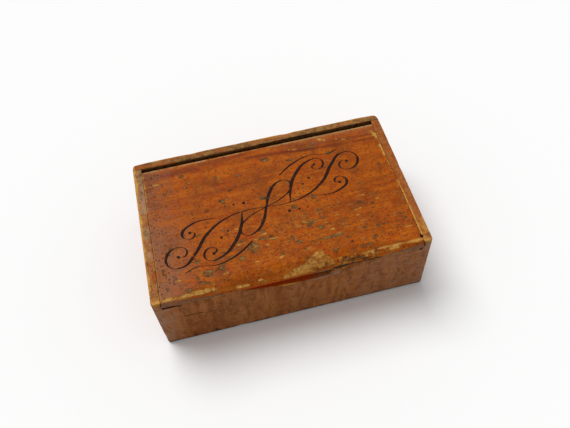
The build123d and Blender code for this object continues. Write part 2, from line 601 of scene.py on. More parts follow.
def boardCopy(node, name, coarse, extraCuts=()):
    bm = mergedCopy(node)
    flat = radians(boardValues["flatAngle"])
    bmesh.ops.dissolve_limit(bm, angle_limit=flat, verts=bm.verts, edges=bm.edges)
    sharp = [
        e for e in bm.edges
        if e.is_manifold and e.calc_face_angle(0) > radians(boardValues["sharpAngle"])
        and not staysSharp(np.array((e.verts[0].co + e.verts[1].co) / 2) / mm)
    ]
    bmesh.ops.bevel(bm, geom=sharp, offset=boardValues["arris"] * mm, offset_type="OFFSET",
                    segments=boardValues["arrisSegments"], profile=0.5, affect="EDGES", clamp_overlap=True)
    low, high = nodeBox(node)
    cuts = [(axis, at) for axis in range(3) for at in cutPlaces(low[axis], high[axis], coarse)]
    for axis, at in cuts + list(extraCuts):
        point, normal = Vector(), Vector()
        point[axis], normal[axis] = at * mm, 1
        bmesh.ops.bisect_plane(bm, geom=bm.verts[:] + bm.edges[:] + bm.faces[:],
                               dist=boardValues["cutSnap"] * mm, plane_co=point, plane_no=normal)
    bmesh.ops.triangulate(bm, faces=[f for f in bm.faces if len(f.verts) > 4])
    mesh = bpy.data.meshes.new(name)
    bm.to_mesh(mesh)
    bm.free()
    mesh.materials.clear()
    return newObject(name, mesh)


def vertexValues(piece, key):
    flat = np.empty(len(piece.data.vertices) * 3)
    piece.data.vertices.foreach_get(key, flat)
    return flat.reshape(-1, 3)


def pointsOf(piece):
    return vertexValues(piece, "co") / mm


def normalsOf(piece):
    return vertexValues(piece, "normal")


def setPoints(piece, points):
    piece.data.vertices.foreach_set("co", (points * mm).ravel())
    piece.data.update()
    piece.data.shade_smooth()


def paint(piece, layer, amount):
    attribute = piece.data.attributes.new(layer, "FLOAT", "POINT")
    attribute.data.foreach_set("value", np.clip(amount, 0, 1).astype(np.float32))


# Wear

def plane(normal, point):
    normal = np.array(normal, float)
    normal /= np.linalg.norm(normal)
    return normal, float(normal @ np.array(point, float))


def depthUnder(points, face):                        # how far points lie behind a face
    normal, offset = face
    return offset - points @ normal


def arrisPull(acrossA, acrossB, radius):             # how far points near an arris are drawn in to its round
    reach = np.hypot(acrossA, acrossB)
    near = (acrossA < radius + 0.25) & (acrossB < radius + 0.25)
    worn = near & (acrossA > 0) & (acrossB > 0) & (reach > radius)
    return np.where(worn, 1 - radius / np.maximum(reach, 1e-6), 0)


def roundArris(points, faceA, faceB, radius):
    acrossA = radius - depthUnder(points, faceA)
    acrossB = radius - depthUnder(points, faceB)
    pull = arrisPull(acrossA, acrossB, radius)[:, None]
    return points - acrossA[:, None] * pull * faceA[0] - acrossB[:, None] * pull * faceB[0]


def bowl(places, at, size):                          # 1 in the middle of an oval, 0 from its edge outwards
    away = np.linalg.norm((places - at) / size, axis=1)
    return np.clip(1 - away**2, 0, 1)


def halfWidths(node, height):                        # how far out a node's points lie at a height
    points = nodePoints(node)
    return np.abs(points[np.abs(points[:, 2] - height) < 0.02, 0])


grooveValues = {"floorPlay": 0.1, "height": 4.0, "undercut": 0.8, "footRadius": 1.4, "footMiddle": 45.79}
grooveFloor = lidLow[2] - grooveValues["floorPlay"]
sideLean = grooveValues["undercut"] / grooveValues["height"]
railInside = halfWidths("left_end", boxHigh[2]).min()          # the rails' inner arrises, on both sides

outside = {
    "top": plane((0, 0, 1), boxHigh),
    "bottom": plane((0, 0, -1), boxLow),
    "front": plane((0, -1, 0), boxLow),
    "back": plane((0, 1, 0), boxHigh),
    "left": plane((-1, 0, 0), boxLow),
    "right": plane((1, 0, 0), boxHigh),
}

# Each outer arris of the case: its radius and how ragged that is, the width of the bare wood along it, and
# how bare that is.
caseArrises = {
    ("top", "front"): (0.55, 0.3, 1.9, 1.0),
    ("top", "left"): (0.5, 0.5, 1.1, 0.95),
    ("top", "right"): (0.5, 0.4, 0.7, 0.3),
    ("top", "back"): (0.6, 0.4, 1.0, 0.7),
    ("front", "left"): (1.0, 0.2, 0.8, 0.3),
    ("front", "right"): (1.0, 0.2, 0.8, 0.3),
    ("back", "left"): (2.3, 0.1, 1.0, 0.6),
    ("back", "right"): (2.7, 0.05, 1.2, 0.7),
    ("bottom", "front"): (0.85, 0.3, 0.8, 0.35),
    ("bottom", "back"): (0.85, 0.3, 0.8, 0.4),
    ("bottom", "left"): (0.85, 0.3, 0.9, 0.4),
    ("bottom", "right"): (0.85, 0.3, 0.9, 0.4),
}

# Knocks that have taken more off an arris: where, how far they reach, and how much deeper it is rounded.
caseKnocks = [
    ((-50, 21.5, 31), 1.3, 0.7),
    ((48.5, 31.5, 31), 4.0, 0.6),
    ((-49, 31.5, 31), 3.0, 0.5),
    ((-50, -28.0, 31), 1.6, 0.3),
    ((50, 3.0, 31), 1.5, 0.5),
    ((50, -31.5, 31), 2.4, 0.25),
    ((12, 31.5, 31), 2.0, 0.5),
    ((-27, 31.5, 31), 1.2, 0.5),
    ((-50, -31.5, 4), 2.2, 0.9),
    ((50, 31.5, 0), 3.0, 1.0),
    ((-22, -31.5, 0), 2.0, 0.7),
]


def knockedDeeper(points):
    return sum(deeper * np.exp(-(np.linalg.norm(points - at, axis=1) / reach)**2)
               for at, reach, deeper in caseKnocks)


def wearCase(points):
    ripple = layeredNoise(points, 5, seed=3)
    for faces, (radius, ragged, width, much) in caseArrises.items():
        worn = radius * (1 + ragged * ripple) + knockedDeeper(points)
        points = roundArris(points, *(outside[face] for face in faces), worn)
    return points


def bareCase(points):                                # where the finish is rubbed off the outer arrises
    bare = np.zeros(len(points))
    ripple = layeredNoise(points, 3.5, seed=21)
    for faces, (radius, ragged, width, much) in caseArrises.items():
        away = np.hypot(*(depthUnder(points, outside[face]) for face in faces))
        inward = away / (width * (1 + 0.6 * ripple))
        bare = np.maximum(bare, much * (1.15 + 0.5 * ripple) * np.clip(1.35 - inward, 0, 1))
    return bare


def shrinkAway(piece, points, deepest, size, seed):  # hand-planed faces: never outside the CAD solid
    setPoints(piece, points)
    hollow = deepest * (0.5 + 0.5 * layeredNoise(points, size, seed, 2))
    return points - normalsOf(piece) * hollow[:, None]


dentValues = {
    "count": 26,
    "smallest": 0.9,
    "largest": 1.9,
    "depth": 0.11,
    "stretch": (0.6, 1, 1),      # dents are longer along the box
    "facing": 0.7,               # a dent stays on faces turned its way
}


def dent(piece, points, seed):
    rng = np.random.default_rng(seed)
    setPoints(piece, points)
    normals = normalsOf(piece)
    for index in rng.integers(0, len(points), dentValues["count"]):
        reach = rng.uniform(dentValues["smallest"], dentValues["largest"])
        away = np.linalg.norm((points - points[index]) * dentValues["stretch"], axis=1) / reach
        turnedIt = (normals @ normals[index]) > dentValues["facing"]
        push = dentValues["depth"] * np.clip(1 - away**2, 0, 1)**2 * turnedIt
        points = points - normals * push[:, None]
    return points


def grooveWall(side, half):                          # the leaning side of the groove or of the lid
    return plane((side, 0, sideLean), (side * half, 0, boxHigh[2]))


def railWall(side):                                  # a rail's inner face, seen from the groove
    normal, offset = grooveWall(side, railInside)
    return -normal, -offset


# Front board, back board and ends

caseValues = {
    "coarse": 1.0,
    "railCoarse": 0.8,
    "hollow": 0.05,              # hand-planed faces dip by up to this much
    "hollowSize": (26, 26, 11),
    "railInnerRadius": 0.12,
    "raggedRail": 0.5,
}


rawValues = {
    "walls": 0.25,               # the bare wood inside goes this far into the walls,
    "bottom": 0.3,               # this far into the bottom board,
    "ledge": 0.05,               # and this far above the groove's floor
    "under": (0.9, 0.25),        # the underside starts between these heights
}


def insideMask(points):                              # bare wood that the finish never reached
    x, y, z = points.T
    within = (np.abs(x) < wellHalf + rawValues["walls"]) & (np.abs(y) < seamY + rawValues["walls"])
    return within & (z > bottomHigh[2] - rawValues["bottom"]) & (z < grooveFloor + rawValues["ledge"])


def underMask(points):
    return smooth(points[:, 2], *rawValues["under"])


dirtAndShadeValues = {
    "rim": 0.6,                  # joints hold dirt this near the outside,
    "footRim": 0.4,              # and below this height
    "jointWidth": 0.45,
    "sideJoint": 0.6,            # how dark a joint is, below the top
    "topBand": 1.5,              # which is this deep here
    "topJoint": 0.22,
    "openJoint": 0.9,            # at the back right corner
    "cornerBrad": 0.2,
    "bottomBrad": 0.5,
    "bradWidth": 0.8,
    "footHeight": 2.2,           # painted shade makes the foot dark below about this height
    "fadeHeight": 7.0,           # and patchy painted shade fades out at this one
}


def seamGrime(points):                               # dirt in the joints of the case
    x, y, z = points.T
    outer = (np.abs(x) > boxHigh[0] - dirtAndShadeValues["rim"]) | (z > boxHigh[2] - dirtAndShadeValues["rim"])
    outer = outer | (z < dirtAndShadeValues["footRim"])
    onTop = np.where((x > 0) & (y > 0), dirtAndShadeValues["openJoint"], dirtAndShadeValues["topJoint"])
    much = np.where(z < boxHigh[2] - dirtAndShadeValues["topBand"], dirtAndShadeValues["sideJoint"], onTop)
    much = much * (0.8 + 0.5 * layeredNoise(points, 5, seed=43))
    return np.clip(1.0 - np.abs(np.abs(y) - seamY) / dirtAndShadeValues["jointWidth"], 0, 1) * outer * much


def bradGrime(points):                               # rust and dirt around the brads' heads
    grime = np.zeros(len(points))
    for head, facing in cornerBradPlaces + bottomBradPlaces:
        much = dirtAndShadeValues["cornerBrad"] if facing[1] else dirtAndShadeValues["bottomBrad"]
        away = np.linalg.norm(points - head, axis=1) / dirtAndShadeValues["bradWidth"]
        grime = np.maximum(grime, much * np.clip(1.5 - away, 0, 1))
    return grime


def footShade(points):                               # the foot is painted darker, as shade
    height = points[:, 2]
    ripple = layeredNoise(points, (2.5, 2.5, 1.5), seed=41)
    foot = np.clip(1.2 - height / dirtAndShadeValues["footHeight"], 0, 1)
    return 0.68 * foot + 0.35 * np.clip(1 - height / dirtAndShadeValues["fadeHeight"], 0, 1) * ripple


def buildBoard(node, name, coarse, seed, extraCuts=()):
    piece = boardCopy(node, name, coarse, extraCuts)
    points = shrinkAway(piece, pointsOf(piece), caseValues["hollow"], caseValues["hollowSize"], seed)
    return piece, wearCase(dent(piece, points, seed))


def paintCase(piece, points, faded, dirtAndShade=0, golden=0):
    raw = insideMask(points)
    paint(piece, "bare", np.maximum(bareCase(points), golden) * ~raw)
    paint(piece, "grime", seamGrime(points) + bradGrime(points) + footShade(points) * ~raw + dirtAndShade)
    paint(piece, "raw", raw)
    paint(piece, "under", underMask(points))
    paint(piece, "faded", faded * ~raw)
    across, along = np.abs(points[:, 0]) > boxHigh[0] - 0.4, np.abs(points[:, 1]) > seamY - 0.05
    paint(piece, "endGrain", across & along)


scoop = {"centre": 8.5, "depth": 4.15, "left": 29.0, "right": 16.0}


def scoopFloor(x):                                   # the front board's top edge between the ears
    width = np.where(x < scoop["centre"], scoop["left"], scoop["right"])
    radius = (width**2 + scoop["depth"]**2) / (2 * scoop["depth"])
    arc = grooveFloor - scoop["depth"] + radius - np.sqrt(np.maximum(radius**2 - (x - scoop["centre"])**2, 0))
    return np.minimum(arc, grooveFloor)


frontValues = {
    "crackCuts": (17.1, 19.2, 0.16),                 # from, to and step of finer cuts, up the board
    "floorCuts": (26.0, 27.3, 0.2),
    "wallCuts": (45.7, 47.3, 0.2),                   # and along it, on both sides
    "lipCuts": (0.5, 0.9, 1.35),                     # and behind its front face
    "lipRadius": 0.55,                               # front lip of the thumb scoop
    "notchRadius": 0.3,                              # and its inner arris
    "notchEnd": 1.0,                                 # both stop this far from the groove's walls
    "wallRadius": 0.2,                               # front arris of those walls
    "top": 0.8,
    "mouth": (2.0, 1.3),                             # painted shade under the lid ends here, behind the front face
    "shadedLeft": -40,                                # and that painted shade lies left of here
    "paleEnds": 8.5,                                 # the finish is pale this far in from each end
    "paleRight": (10, 30),                           # and a little on the right
    "scooped": ((-12, 0), (18.5, 15)),               # where the scoop's lip is rubbed, along x
    "thumbed": (-3, 5),                              # pale right of here, and golden left of it
    "redScoop": ((-24, -13), (12, 4), (0.25, 0.6)),  # where its floor is red, along x and behind the lip
    "redFades": (1.0, 2.6),                          # and less so further in
}

# The scoop is worn flat to the right: there the board rises behind its lip, close up to the lid.
scoopRise = {"along": (12.5, 16.0), "behind": (0.3, 1.3), "end": 30, "below": 0.15}
lidHole = {"at": (46.7, -28.8), "size": (0.6, 1.1), "deep": 1.1}      # between the lid and the right rail, and painted dark as shade in it

# A pit and a crack in the front face. Their places are x and z.
# the pit is painted dark, as shade in it
frontPit = {"at": (46.1, 26.4), "size": (0.6, 0.5), "dark": 1.8, "deep": 0.5}
frontCracks = [
    {"start": (-41.0, 18.3), "end": (-34.6, 18.0), "width": 0.4, "deep": 0.14, "dark": 1.0},
    {"start": (-34.6, 18.0), "end": (-28.0, 16.9), "width": 0.28, "deep": 0.07, "dark": 0.6},
]

# Dark spots on the front face: x and z, size, and how dark. The last one is the pit's painted shade.
frontSpots = [
    ((-39.0, 3.4), (0.9, 1.8), 0.5),
    ((-33.2, 4.6), (0.8, 1.2), 0.4),
    ((-31.0, 2.6), (1.0, 1.6), 0.65),
    ((-11.6, 4.0), (0.8, 1.5), 0.45),
    ((-3.4, 3.0), (0.9, 1.3), 0.5),
    ((10.5, 5.0), (1.4, 2.4), 0.35),
    ((34.0, 4.2), (1.2, 2.2), 0.35),
    ((13.6, 19.2), (0.7, 0.5), 0.5),
    (frontPit["at"], frontPit["size"], frontPit["dark"]),
]


def crackAt(points, crack):
    flat = points[:, [0, 2]]
    start, along = np.array(crack["start"]), np.subtract(crack["end"], crack["start"])
    part = np.clip((flat - start) @ along / (along @ along), 0, 1)
    away = np.linalg.norm(flat - start - part[:, None] * along, axis=1)
    return np.clip(1.2 - away / crack["width"], 0, 1) * (points[:, 1] < frontLow[1] + 0.4)


def frontCuts():
    cuts = [(2, at) for key in ("crackCuts", "floorCuts") for at in np.arange(*frontValues[key])]
    cuts += [(0, side * at) for at in np.arange(*frontValues["wallCuts"]) for side in (-1, 1)]
    return cuts + [(1, frontLow[1] + at) for at in frontValues["lipCuts"]]


def roundScoop(points):                              # both arrises of the scoop's floor
    notch = np.abs(points[:, 0]) < railInside - frontValues["notchEnd"]
    for side, radius in ((1, frontValues["lipRadius"]), (-1, frontValues["notchRadius"])):
        across = points[:, 1] - frontLow[1] if side > 0 else frontHigh[1] - points[:, 1]
        deep, wide = radius - (scoopFloor(points[:, 0]) - points[:, 2]), radius - across
        pull = arrisPull(deep, wide, radius) * notch
        points[:, 2] -= deep * pull
        points[:, 1] += wide * pull * side
    return points


def behindLip(points):                               # 1 where the board rises behind the scoop's lip
    x, y, z = points.T
    near = (np.abs(z - scoopFloor(x)) < 0.6) * (x < scoopRise["end"])
    return near * spanned((x, y - frontLow[1]), (scoopRise["along"], scoopRise["behind"]))


def buildFront():
    piece, points = buildBoard("front_board", "frontBoard", caseValues["coarse"], 51, frontCuts())
    points = roundScoop(points)
    for side in (-1, 1):
        inner = railWall(side)
        points = roundArris(points, outside["front"], inner, frontValues["wallRadius"])
        points = roundArris(points, outside["top"], inner, caseValues["railInnerRadius"])
    risen = behindLip(points)
    lipDepth = np.abs(points[:, 2] - scoopFloor(points[:, 0]))
    ripple = 1 + 0.35 * layeredNoise(points, (1.2, 0.8, 5), seed=66)
    points[:, 2] += risen * (grooveFloor - scoopRise["below"] * ripple - points[:, 2])
    for crack in frontCracks:
        points[:, 1] += crack["deep"] * crackAt(points, crack)
    pit = bowl(points[:, [0, 2]], frontPit["at"], frontPit["size"])
    points[:, 1] += frontPit["deep"] * pit * (points[:, 1] < frontLow[1] + 0.5)
    setPoints(piece, points)
    paintFront(piece, points, risen, lipDepth)
    return piece


def frontDirtAndShade(points):
    x, y, z = points.T
    dirtAndShade = sum(crack["dark"] * crackAt(points, crack) for crack in frontCracks)
    for at, size, dark in frontSpots:
        away = np.linalg.norm((points[:, [0, 2]] - at) / size, axis=1)
        dirtAndShade = dirtAndShade + dark * np.clip(1.3 - away, 0, 1) * (y < frontLow[1] + 0.8)
    # painted shade under the lid's edge at the left
    mouth = smooth(y - frontLow[1], *frontValues["mouth"])
    left = (x < frontValues["shadedLeft"]) & (x > -railInside - 0.3)
    shadeUnderLid = left * (np.abs(z - grooveFloor) < 0.6) * mouth
    # painted shade along the groove's foot and wall, where the lid meets the front face
    footX, footZ = grooveValues["footMiddle"], grooveFloor + grooveValues["footRadius"]
    curve = np.hypot(x - footX, z - footZ) - grooveValues["footRadius"]
    foot = (np.abs(curve) < 0.3) & (x > footX) & (z < footZ)
    wall = (np.abs(depthUnder(points, grooveWall(1, railInside))) < 0.3) & (x > 0) & (z > footZ - 0.2)
    # painted shade in the hole
    hole = bowl(points[:, :2], lidHole["at"], lidHole["size"])
    return dirtAndShade + 0.95 * shadeUnderLid + 0.7 * (foot | wall) * (y < frontLow[1] + 0.7) + hole


def paintFront(piece, points, risen, lipDepth):
    x, y, z = points.T
    behind = y - frontLow[1]
    ends = np.clip(1.25 - np.minimum(x - boxLow[0], boxHigh[0] - x) / frontValues["paleEnds"], 0, 1)
    pale = 0.8 * ends * (0.8 + 0.5 * layeredNoise(points, 6, seed=61)) * (behind < 1.2)
    pale = np.maximum(pale, 0.36 * smooth(x, *frontValues["paleRight"]) * (behind < 0.3))
    onTop = z > boxHigh[2] - frontValues["top"]
    lip = spanned((x, x), frontValues["scooped"]) * np.clip(1.6 - np.hypot(lipDepth, behind) / 0.6, 0, 1)
    thumbed = smooth(x, *frontValues["thumbed"])
    golden = np.maximum(1.3 * lip * (1 - thumbed), (0.45 + 0.3 * layeredNoise(points, 2, seed=65)) * onTop)
    # the board that rises behind the lip is painted dark, as shade under the lid's edge
    risenShade = risen * smooth(behind, *frontValues["mouth"]) * smooth(behind, 0.55, 0.8)
    paintCase(piece, points, 0.4 * onTop, frontDirtAndShade(points) + risenShade, golden)
    paint(piece, "plum", np.maximum(pale * ~onTop, 0.8 * lip * thumbed))
    paint(piece, "raw", np.maximum(insideMask(points), 0.55 * lip * thumbed))
    onScoop = (lipDepth < 0.5) * spanned((x, x, behind), frontValues["redScoop"])
    paint(piece, "warm", onScoop * (1 - 0.45 * smooth(behind, *frontValues["redFades"])))


backValues = {
    "innerRadius": (0.45, 0.2),  # of the arris over the gap, and how far it varies
    "top": 1.0,
    "gapShade": (29.2, 28.0),     # the gap behind the lid is painted darker below these heights, as shade
    "heart": (20, -35),          # the wood is redder to the left
}


def buildBack():
    piece, points = buildBoard("back_board", "backBoard", caseValues["coarse"], 52)
    inner = plane((0, -1, 0), backLow)
    radius, varying = backValues["innerRadius"]
    points = roundArris(points, outside["top"], inner, radius + varying * layeredNoise(points, 4, seed=71))
    setPoints(piece, points)
    x, y, z = points.T
    streaks = smooth(layeredNoise(points, (7, 0.9, 4), seed=67), -0.3, 0.3)
    onTop = z > boxHigh[2] - backValues["top"]
    inGap = (y < backLow[1] + 0.3) & (z > grooveFloor - 1) & (z < boxHigh[2] - 0.5)
    patches = smooth(layeredNoise(points, 9, seed=62), 0.0, 0.6)
    faded = (0.25 + 0.75 * streaks) * onTop + 0.45 * patches + inGap
    golden = 0.45 * smooth(layeredNoise(points, (6, 1, 3), seed=64), 0.0, 0.5) * onTop
    # the gap behind the lid is painted dark as shade, darkest lower down
    paintCase(piece, points, faded, (0.5 + 0.5 * smooth(z, *backValues["gapShade"])) * inGap, golden)
    paint(piece, "heart", onTop * smooth(x, *backValues["heart"]) * 0.8)
    return piece


# The two ends have worn differently. Spans are along y, on the rail.
endValues = {
    "cutStep": 2.1,
    "top": 1.2,
    "marked": 0.7,
    "olive": (17, 23),           # olive at the back
    "inner": (0, -6),            # and towards the front bare on the inner arris,
    "red": (12, -8),             # redder,
    "pitted": (22, -6),          # and more pitted
}
leftWear = {
    "side": -1,
    "faded": 0.4,
    "fadedPatches": 0.55,
    "olive": 1.0,                # at the back
    "golden": 0.45,
    "rubbed": (-22, -28),        # the front is rubbed pale from here to here
    "gilt": 0.25,                # by this much
    "fadingKept": 0.8,           # of the fading there
    "redBack": 1.0,              # how red the wood is at the back
    "redLeast": 0.0,             # and between its red patches
    "plum": 0.95,
    "pitted": 0.7,
    "innerBare": 0.0,            # bare wood on the inner arris
}
rightWear = {
    "side": 1,
    "faded": 0.0,
    "fadedPatches": 0.4,
    "olive": 0.0,
    "golden": 0.3,
    "rubbed": (-15, -27),
    "gilt": 0.6,
    "fadingKept": 0.0,
    "redBack": 0.7,
    "redLeast": 0.6,
    "plum": 0.0,
    "pitted": 0.0,
    "innerBare": 1.0,
}


def buildEnd(node, name, seed, wear):
    low, high = nodeBox(node)
    cuts = [(1, at) for at in np.arange(low[1] + 1, high[1] - 1, endValues["cutStep"])]
    piece, points = buildBoard(node, name, caseValues["railCoarse"], seed, cuts)
    ripple = layeredNoise(points, 4, seed=seed + 5)
    radius = caseValues["railInnerRadius"] * (1 + caseValues["raggedRail"] * ripple)
    points = roundArris(points, outside["top"], railWall(wear["side"]), radius)
    setPoints(piece, points)
    x, y, z = points.T
    top = z > boxHigh[2] - endValues["top"]
    patches = smooth(layeredNoise(points, (3, 5, 3), seed=seed + 9), 0.0, 0.4)
    olive = wear["olive"] * smooth(y, *endValues["olive"])
    rail = np.maximum(wear["faded"] + wear["fadedPatches"] * patches, olive)
    faded = np.where(top, rail, 0.35 * smooth(layeredNoise(points, 9, seed=63), 0, 0.6))
    golden = wear["golden"] * smooth(layeredNoise(points, (3, 4, 3), seed=seed + 12), 0.0, 0.4)
    front = smooth(y, *wear["rubbed"])
    inner = np.clip(1.5 - (np.abs(x) - railInside) / 0.6, 0, 1) * smooth(y, *endValues["inner"])
    golden = top * np.maximum(golden + wear["gilt"] * front, wear["innerBare"] * inner)
    paintCase(piece, points, faded * (1 - front * (1 - wear["fadingKept"])), 0, golden)
    reddish = smooth(layeredNoise(points, (4, 5, 4), seed=seed + 20), -0.2, 0.3)
    reddish = wear["redLeast"] + (1 - wear["redLeast"]) * reddish
    reddish = reddish * (wear["redBack"] + (1 - wear["redBack"]) * smooth(y, *endValues["red"]))
    paint(piece, "heart", top * reddish)
    pinkish = smooth(layeredNoise(points, (3, 4, 3), seed=seed + 31), -0.35, 0.15)
    paint(piece, "plum", wear["plum"] * top * pinkish)
    paint(piece, "marked", endValues["marked"] * top)
    paint(piece, "pitted", wear["pitted"] * top * smooth(y, *endValues["pitted"]))
    return piece


frontBoard = buildFront()
backBoard = buildBack()
leftEnd = buildEnd("left_end", "leftEnd", 53, leftWear)
rightEnd = buildEnd("right_end", "rightEnd", 54, rightWear)
print("walls shaped")


# Bottom board

bottomValues = {"coarse": 1.6, "hollow": 0.06, "hollowSize": (30, 14, 10), "dust": 0.6, "dustWidth": 2.5}


def buildBottom():
    piece = boardCopy("bottom_board", "bottomBoard", bottomValues["coarse"])
    points = shrinkAway(piece, pointsOf(piece), bottomValues["hollow"], bottomValues["hollowSize"], 81)
    setPoints(piece, points)
    along, across = np.abs(points[:, 0]), np.abs(points[:, 1])
    under = underMask(points)
    edges = np.clip(1 - np.minimum(bottomHigh[0] - along, bottomHigh[1] - across) / 0.4, 0, 1)
    corners = np.clip(1 - np.minimum(wellHalf - along, seamY - across) / bottomValues["dustWidth"], 0, 1)
    dust = bottomValues["dust"] * corners * (1 - under)
    paint(piece, "grime", np.maximum(bradGrime(points), dust) + edges * under)
    paint(piece, "raw", 1 - under)
    paint(piece, "under", under)
    for layer in ("bare", "faded"):
        paint(piece, layer, 0 * under)
    return piece


bottomBoard = buildBottom()
print("bottom shaped")


# Lid

lidValues = {
    "coarse": 0.5,
    "frontCuts": (0.3, 8, 0.35),  # from, to and step of finer cuts behind the front edge
    "bevelRadius": 400.0,        # the broad arc of the worn front edge, seen from above
    "bevelBite": 2.6,
    "bevelSlope": 36.0,          # degrees
    "backArris": 0.3,
    "wearDown": 3.25,            # the front edge is worn over by this much
    "wearLeast": 0.35,
    "wearLeft": (-52, 30),       # less and less to the left: where it would end, and how far that takes
    "wearRight": (48, 28),       # and to the right
    "wearRightEnd": 0.28,
    "wearBack": 1.65,            # wear reaches back this many times as far
    "wearPower": 1.55,           # 1 is a flat bevel, 2 a full round
    "hollow": 0.05,
    "hollowSize": (22, 9, 9),
    "hollowLeast": 0.03,
    "edge": (0.5, 1.2),          # hollows and dents fade in over these heights
    "topBelow": 0.04,            # its arrises are rounded this far below the rails' tops
    "frontRadius": 0.95,
    "backRadius": 0.5,
    "sideRadius": 0.12,
    "cornerRadius": 0.35,
    "backCornerRadius": 0.21,
    "swelling": 0.1,             # old varnish and dirt fill half of the play at each side
}

lidHalf = halfWidths("lid", lidHigh[2] - lidValues["backArris"]).max()
lidHalf -= lidValues["backArris"] * sideLean         # half the width of its top


def bevelLegs(x):                                    # how far back and down the bevel reaches at x
    arc = (x - scoop["centre"])**2 / (2 * lidValues["bevelRadius"])
    bite = np.maximum(lidValues["bevelBite"] - arc, 0.02)
    slope = radians(lidValues["bevelSlope"])
    return bite / sin(slope), bite / cos(slope)


def bevelTop(x, y):                                  # top of the CAD lid
    back, down = bevelLegs(x)
    return lidHigh[2] - down * np.clip(1 - (y - lidLow[1]) / back, 0, 1)


def frontDrop(x):                                    # how far wear has taken the front edge down at x
    start, length = lidValues["wearLeft"]
    left = (x - start) / length
    right = lidValues["wearRightEnd"] + (1 - lidValues["wearRightEnd"]) * smooth(x, *lidValues["wearRight"])
    down = lidValues["wearDown"]
    return np.clip(down * np.minimum(left, right), lidValues["wearLeast"], down)


def wornTop(x, y):                                   # top of the worn lid, before its dips
    along = np.stack([x, 0 * x, 0 * x], axis=1)
    down = frontDrop(x)
    back = down * lidValues["wearBack"] * (1 + 0.12 * layeredNoise(along, 6, seed=91))
    return lidHigh[2] - down * np.clip(1 - (y - lidLow[1]) / back, 0, 1)**lidValues["wearPower"]


def lidDips(points):                                 # how far the lid's top is hollowed
    waves = 0.5 + 0.5 * layeredNoise(points * (1, 1, 0), lidValues["hollowSize"], seed=92, layers=2)
    return lidValues["hollowLeast"] + lidValues["hollow"] * waves


# Places where the lid is knocked about: place and size on its top, and depth.
lidDents = [
    ((-3.2, 2.1), (1.5, 0.8), 0.16),
    ((-19.0, 4.5), (0.9, 1.5), 0.10),
    ((-12.8, -17.4), (1.8, 1.6), 0.10),
    ((16.0, -20.8), (5.2, 0.5), 0.10),
    ((33.4, -20.8), (0.9, 0.7), 0.09),
    ((-29.7, -24.3), (1.4, 1.1), 0.08),
    ((6.0, 19.6), (1.6, 1.0), 0.12),
    ((23.0, 23.8), (4.5, 0.9), 0.10),
    ((41.5, 19.5), (1.1, 1.6), 0.10),
    ((-44.0, 18.8), (2.6, 0.5), 0.12),
    ((4.0, -23.4), (1.2, 0.7), 0.09),
    ((-41.0, -12.0), (0.9, 1.2), 0.08),
]


def dentDepth(points):
    return sum(deep * bowl(points[:, :2], at, size)**1.5 for at, size, deep in lidDents)


# On the right the foot of the front edge is splintered away, and on the left it has lifted.
splinter = {"along": ((18.5, 20.0), (32.0, 29.0)), "back": 0.5, "height": 1.5, "reach": 1.6}
frontLift = {"along": (-40.5, -43.5), "up": 0.6, "height": 1.5, "reach": 3.0}


def footShare(points, part):                         # 1 at the foot of the lid's front edge, 0 away from it
    behind = np.clip(1 - (points[:, 1] - lidLow[1]) / part["reach"], 0, 1)
    return behind * np.clip(1 - (points[:, 2] - lidLow[2]) / part["height"], 0, 1)


def roundLid(points):
    ripple = layeredNoise(points, 4, seed=93)
    top = plane((0, 0, 1), lidHigh - (0, 0, lidValues["topBelow"]))
    front, back = plane((0, -1, 0), lidLow), plane((0, 1, 0), lidHigh)
    points = roundArris(points, top, front, lidValues["frontRadius"] * (1 + 0.3 * ripple))
    points = roundArris(points, top, back, lidValues["backRadius"] * (1 + 0.5 * ripple))
    for side in (-1, 1):
        wall = grooveWall(side, lidHalf + lidValues["swelling"])
        points = roundArris(points, top, wall, lidValues["sideRadius"] * (1 + 0.5 * ripple))
        points = roundArris(points, front, wall, lidValues["cornerRadius"] * (1 + 0.2 * ripple))
        points = roundArris(points, back, wall, lidValues["backCornerRadius"] * (1 + 0.2 * ripple))
    return points


def buildLid():
    cuts = [(1, lidLow[1] + step) for step in np.arange(*lidValues["frontCuts"])]
    piece = boardCopy("lid", "lidPanel", lidValues["coarse"], cuts)
    points = pointsOf(piece)
    x, y, z = points.T
    under = lidLow[2]
    points[:, 2] = under + (z - under) * (wornTop(x, y) - under) / (bevelTop(x, y) - under)
    onTop = smooth(z - under, *lidValues["edge"])
    hole = lidHole["deep"] * bowl(points[:, :2], lidHole["at"], lidHole["size"])
    points[:, 2] -= (lidDips(points) + dentDepth(points) + hole) * onTop
    points[:, 0] += np.sign(x) * lidValues["swelling"] * smooth(np.abs(x), lidHalf - 1.5, lidHalf - 0.1)
    points = roundLid(points)
    x, y, z = points.T
    foot = footShare(points, splinter) * spanned((x, x), splinter["along"])
    ragged = 0.65 + 0.6 * layeredNoise(np.stack([x, 0 * x, z], axis=1), (0.9, 1, 0.7), seed=94)
    points[:, 1] += splinter["back"] * foot * ragged
    points[:, 2] += frontLift["up"] * footShare(points, frontLift) * smooth(x, *frontLift["along"])
    setPoints(piece, points)
    return piece


lidPanel = buildLid()
print("lid shaped")


# Where the lid's finish is worn, stained and darkened. Places are on its top, in millimetres.

def unrolled(points):                                # the lid's front edge is laid flat, past its top
    flat = points.copy()
    flat[:, 1] -= np.maximum(lidHigh[2] - 0.1 - points[:, 2], 0)
    return flat


def bandAt(points, start, end, width):               # 1 on the line from start to end, 0 past its width
    start, end = np.array(start, float), np.array(end, float)
    along = end - start
    part = np.clip((points[:, :2] - start) @ along / (along @ along), 0, 1)
    away = np.linalg.norm(points[:, :2] - start - part[:, None] * along, axis=1)
    return np.clip(1.3 - away / width, 0, 1)


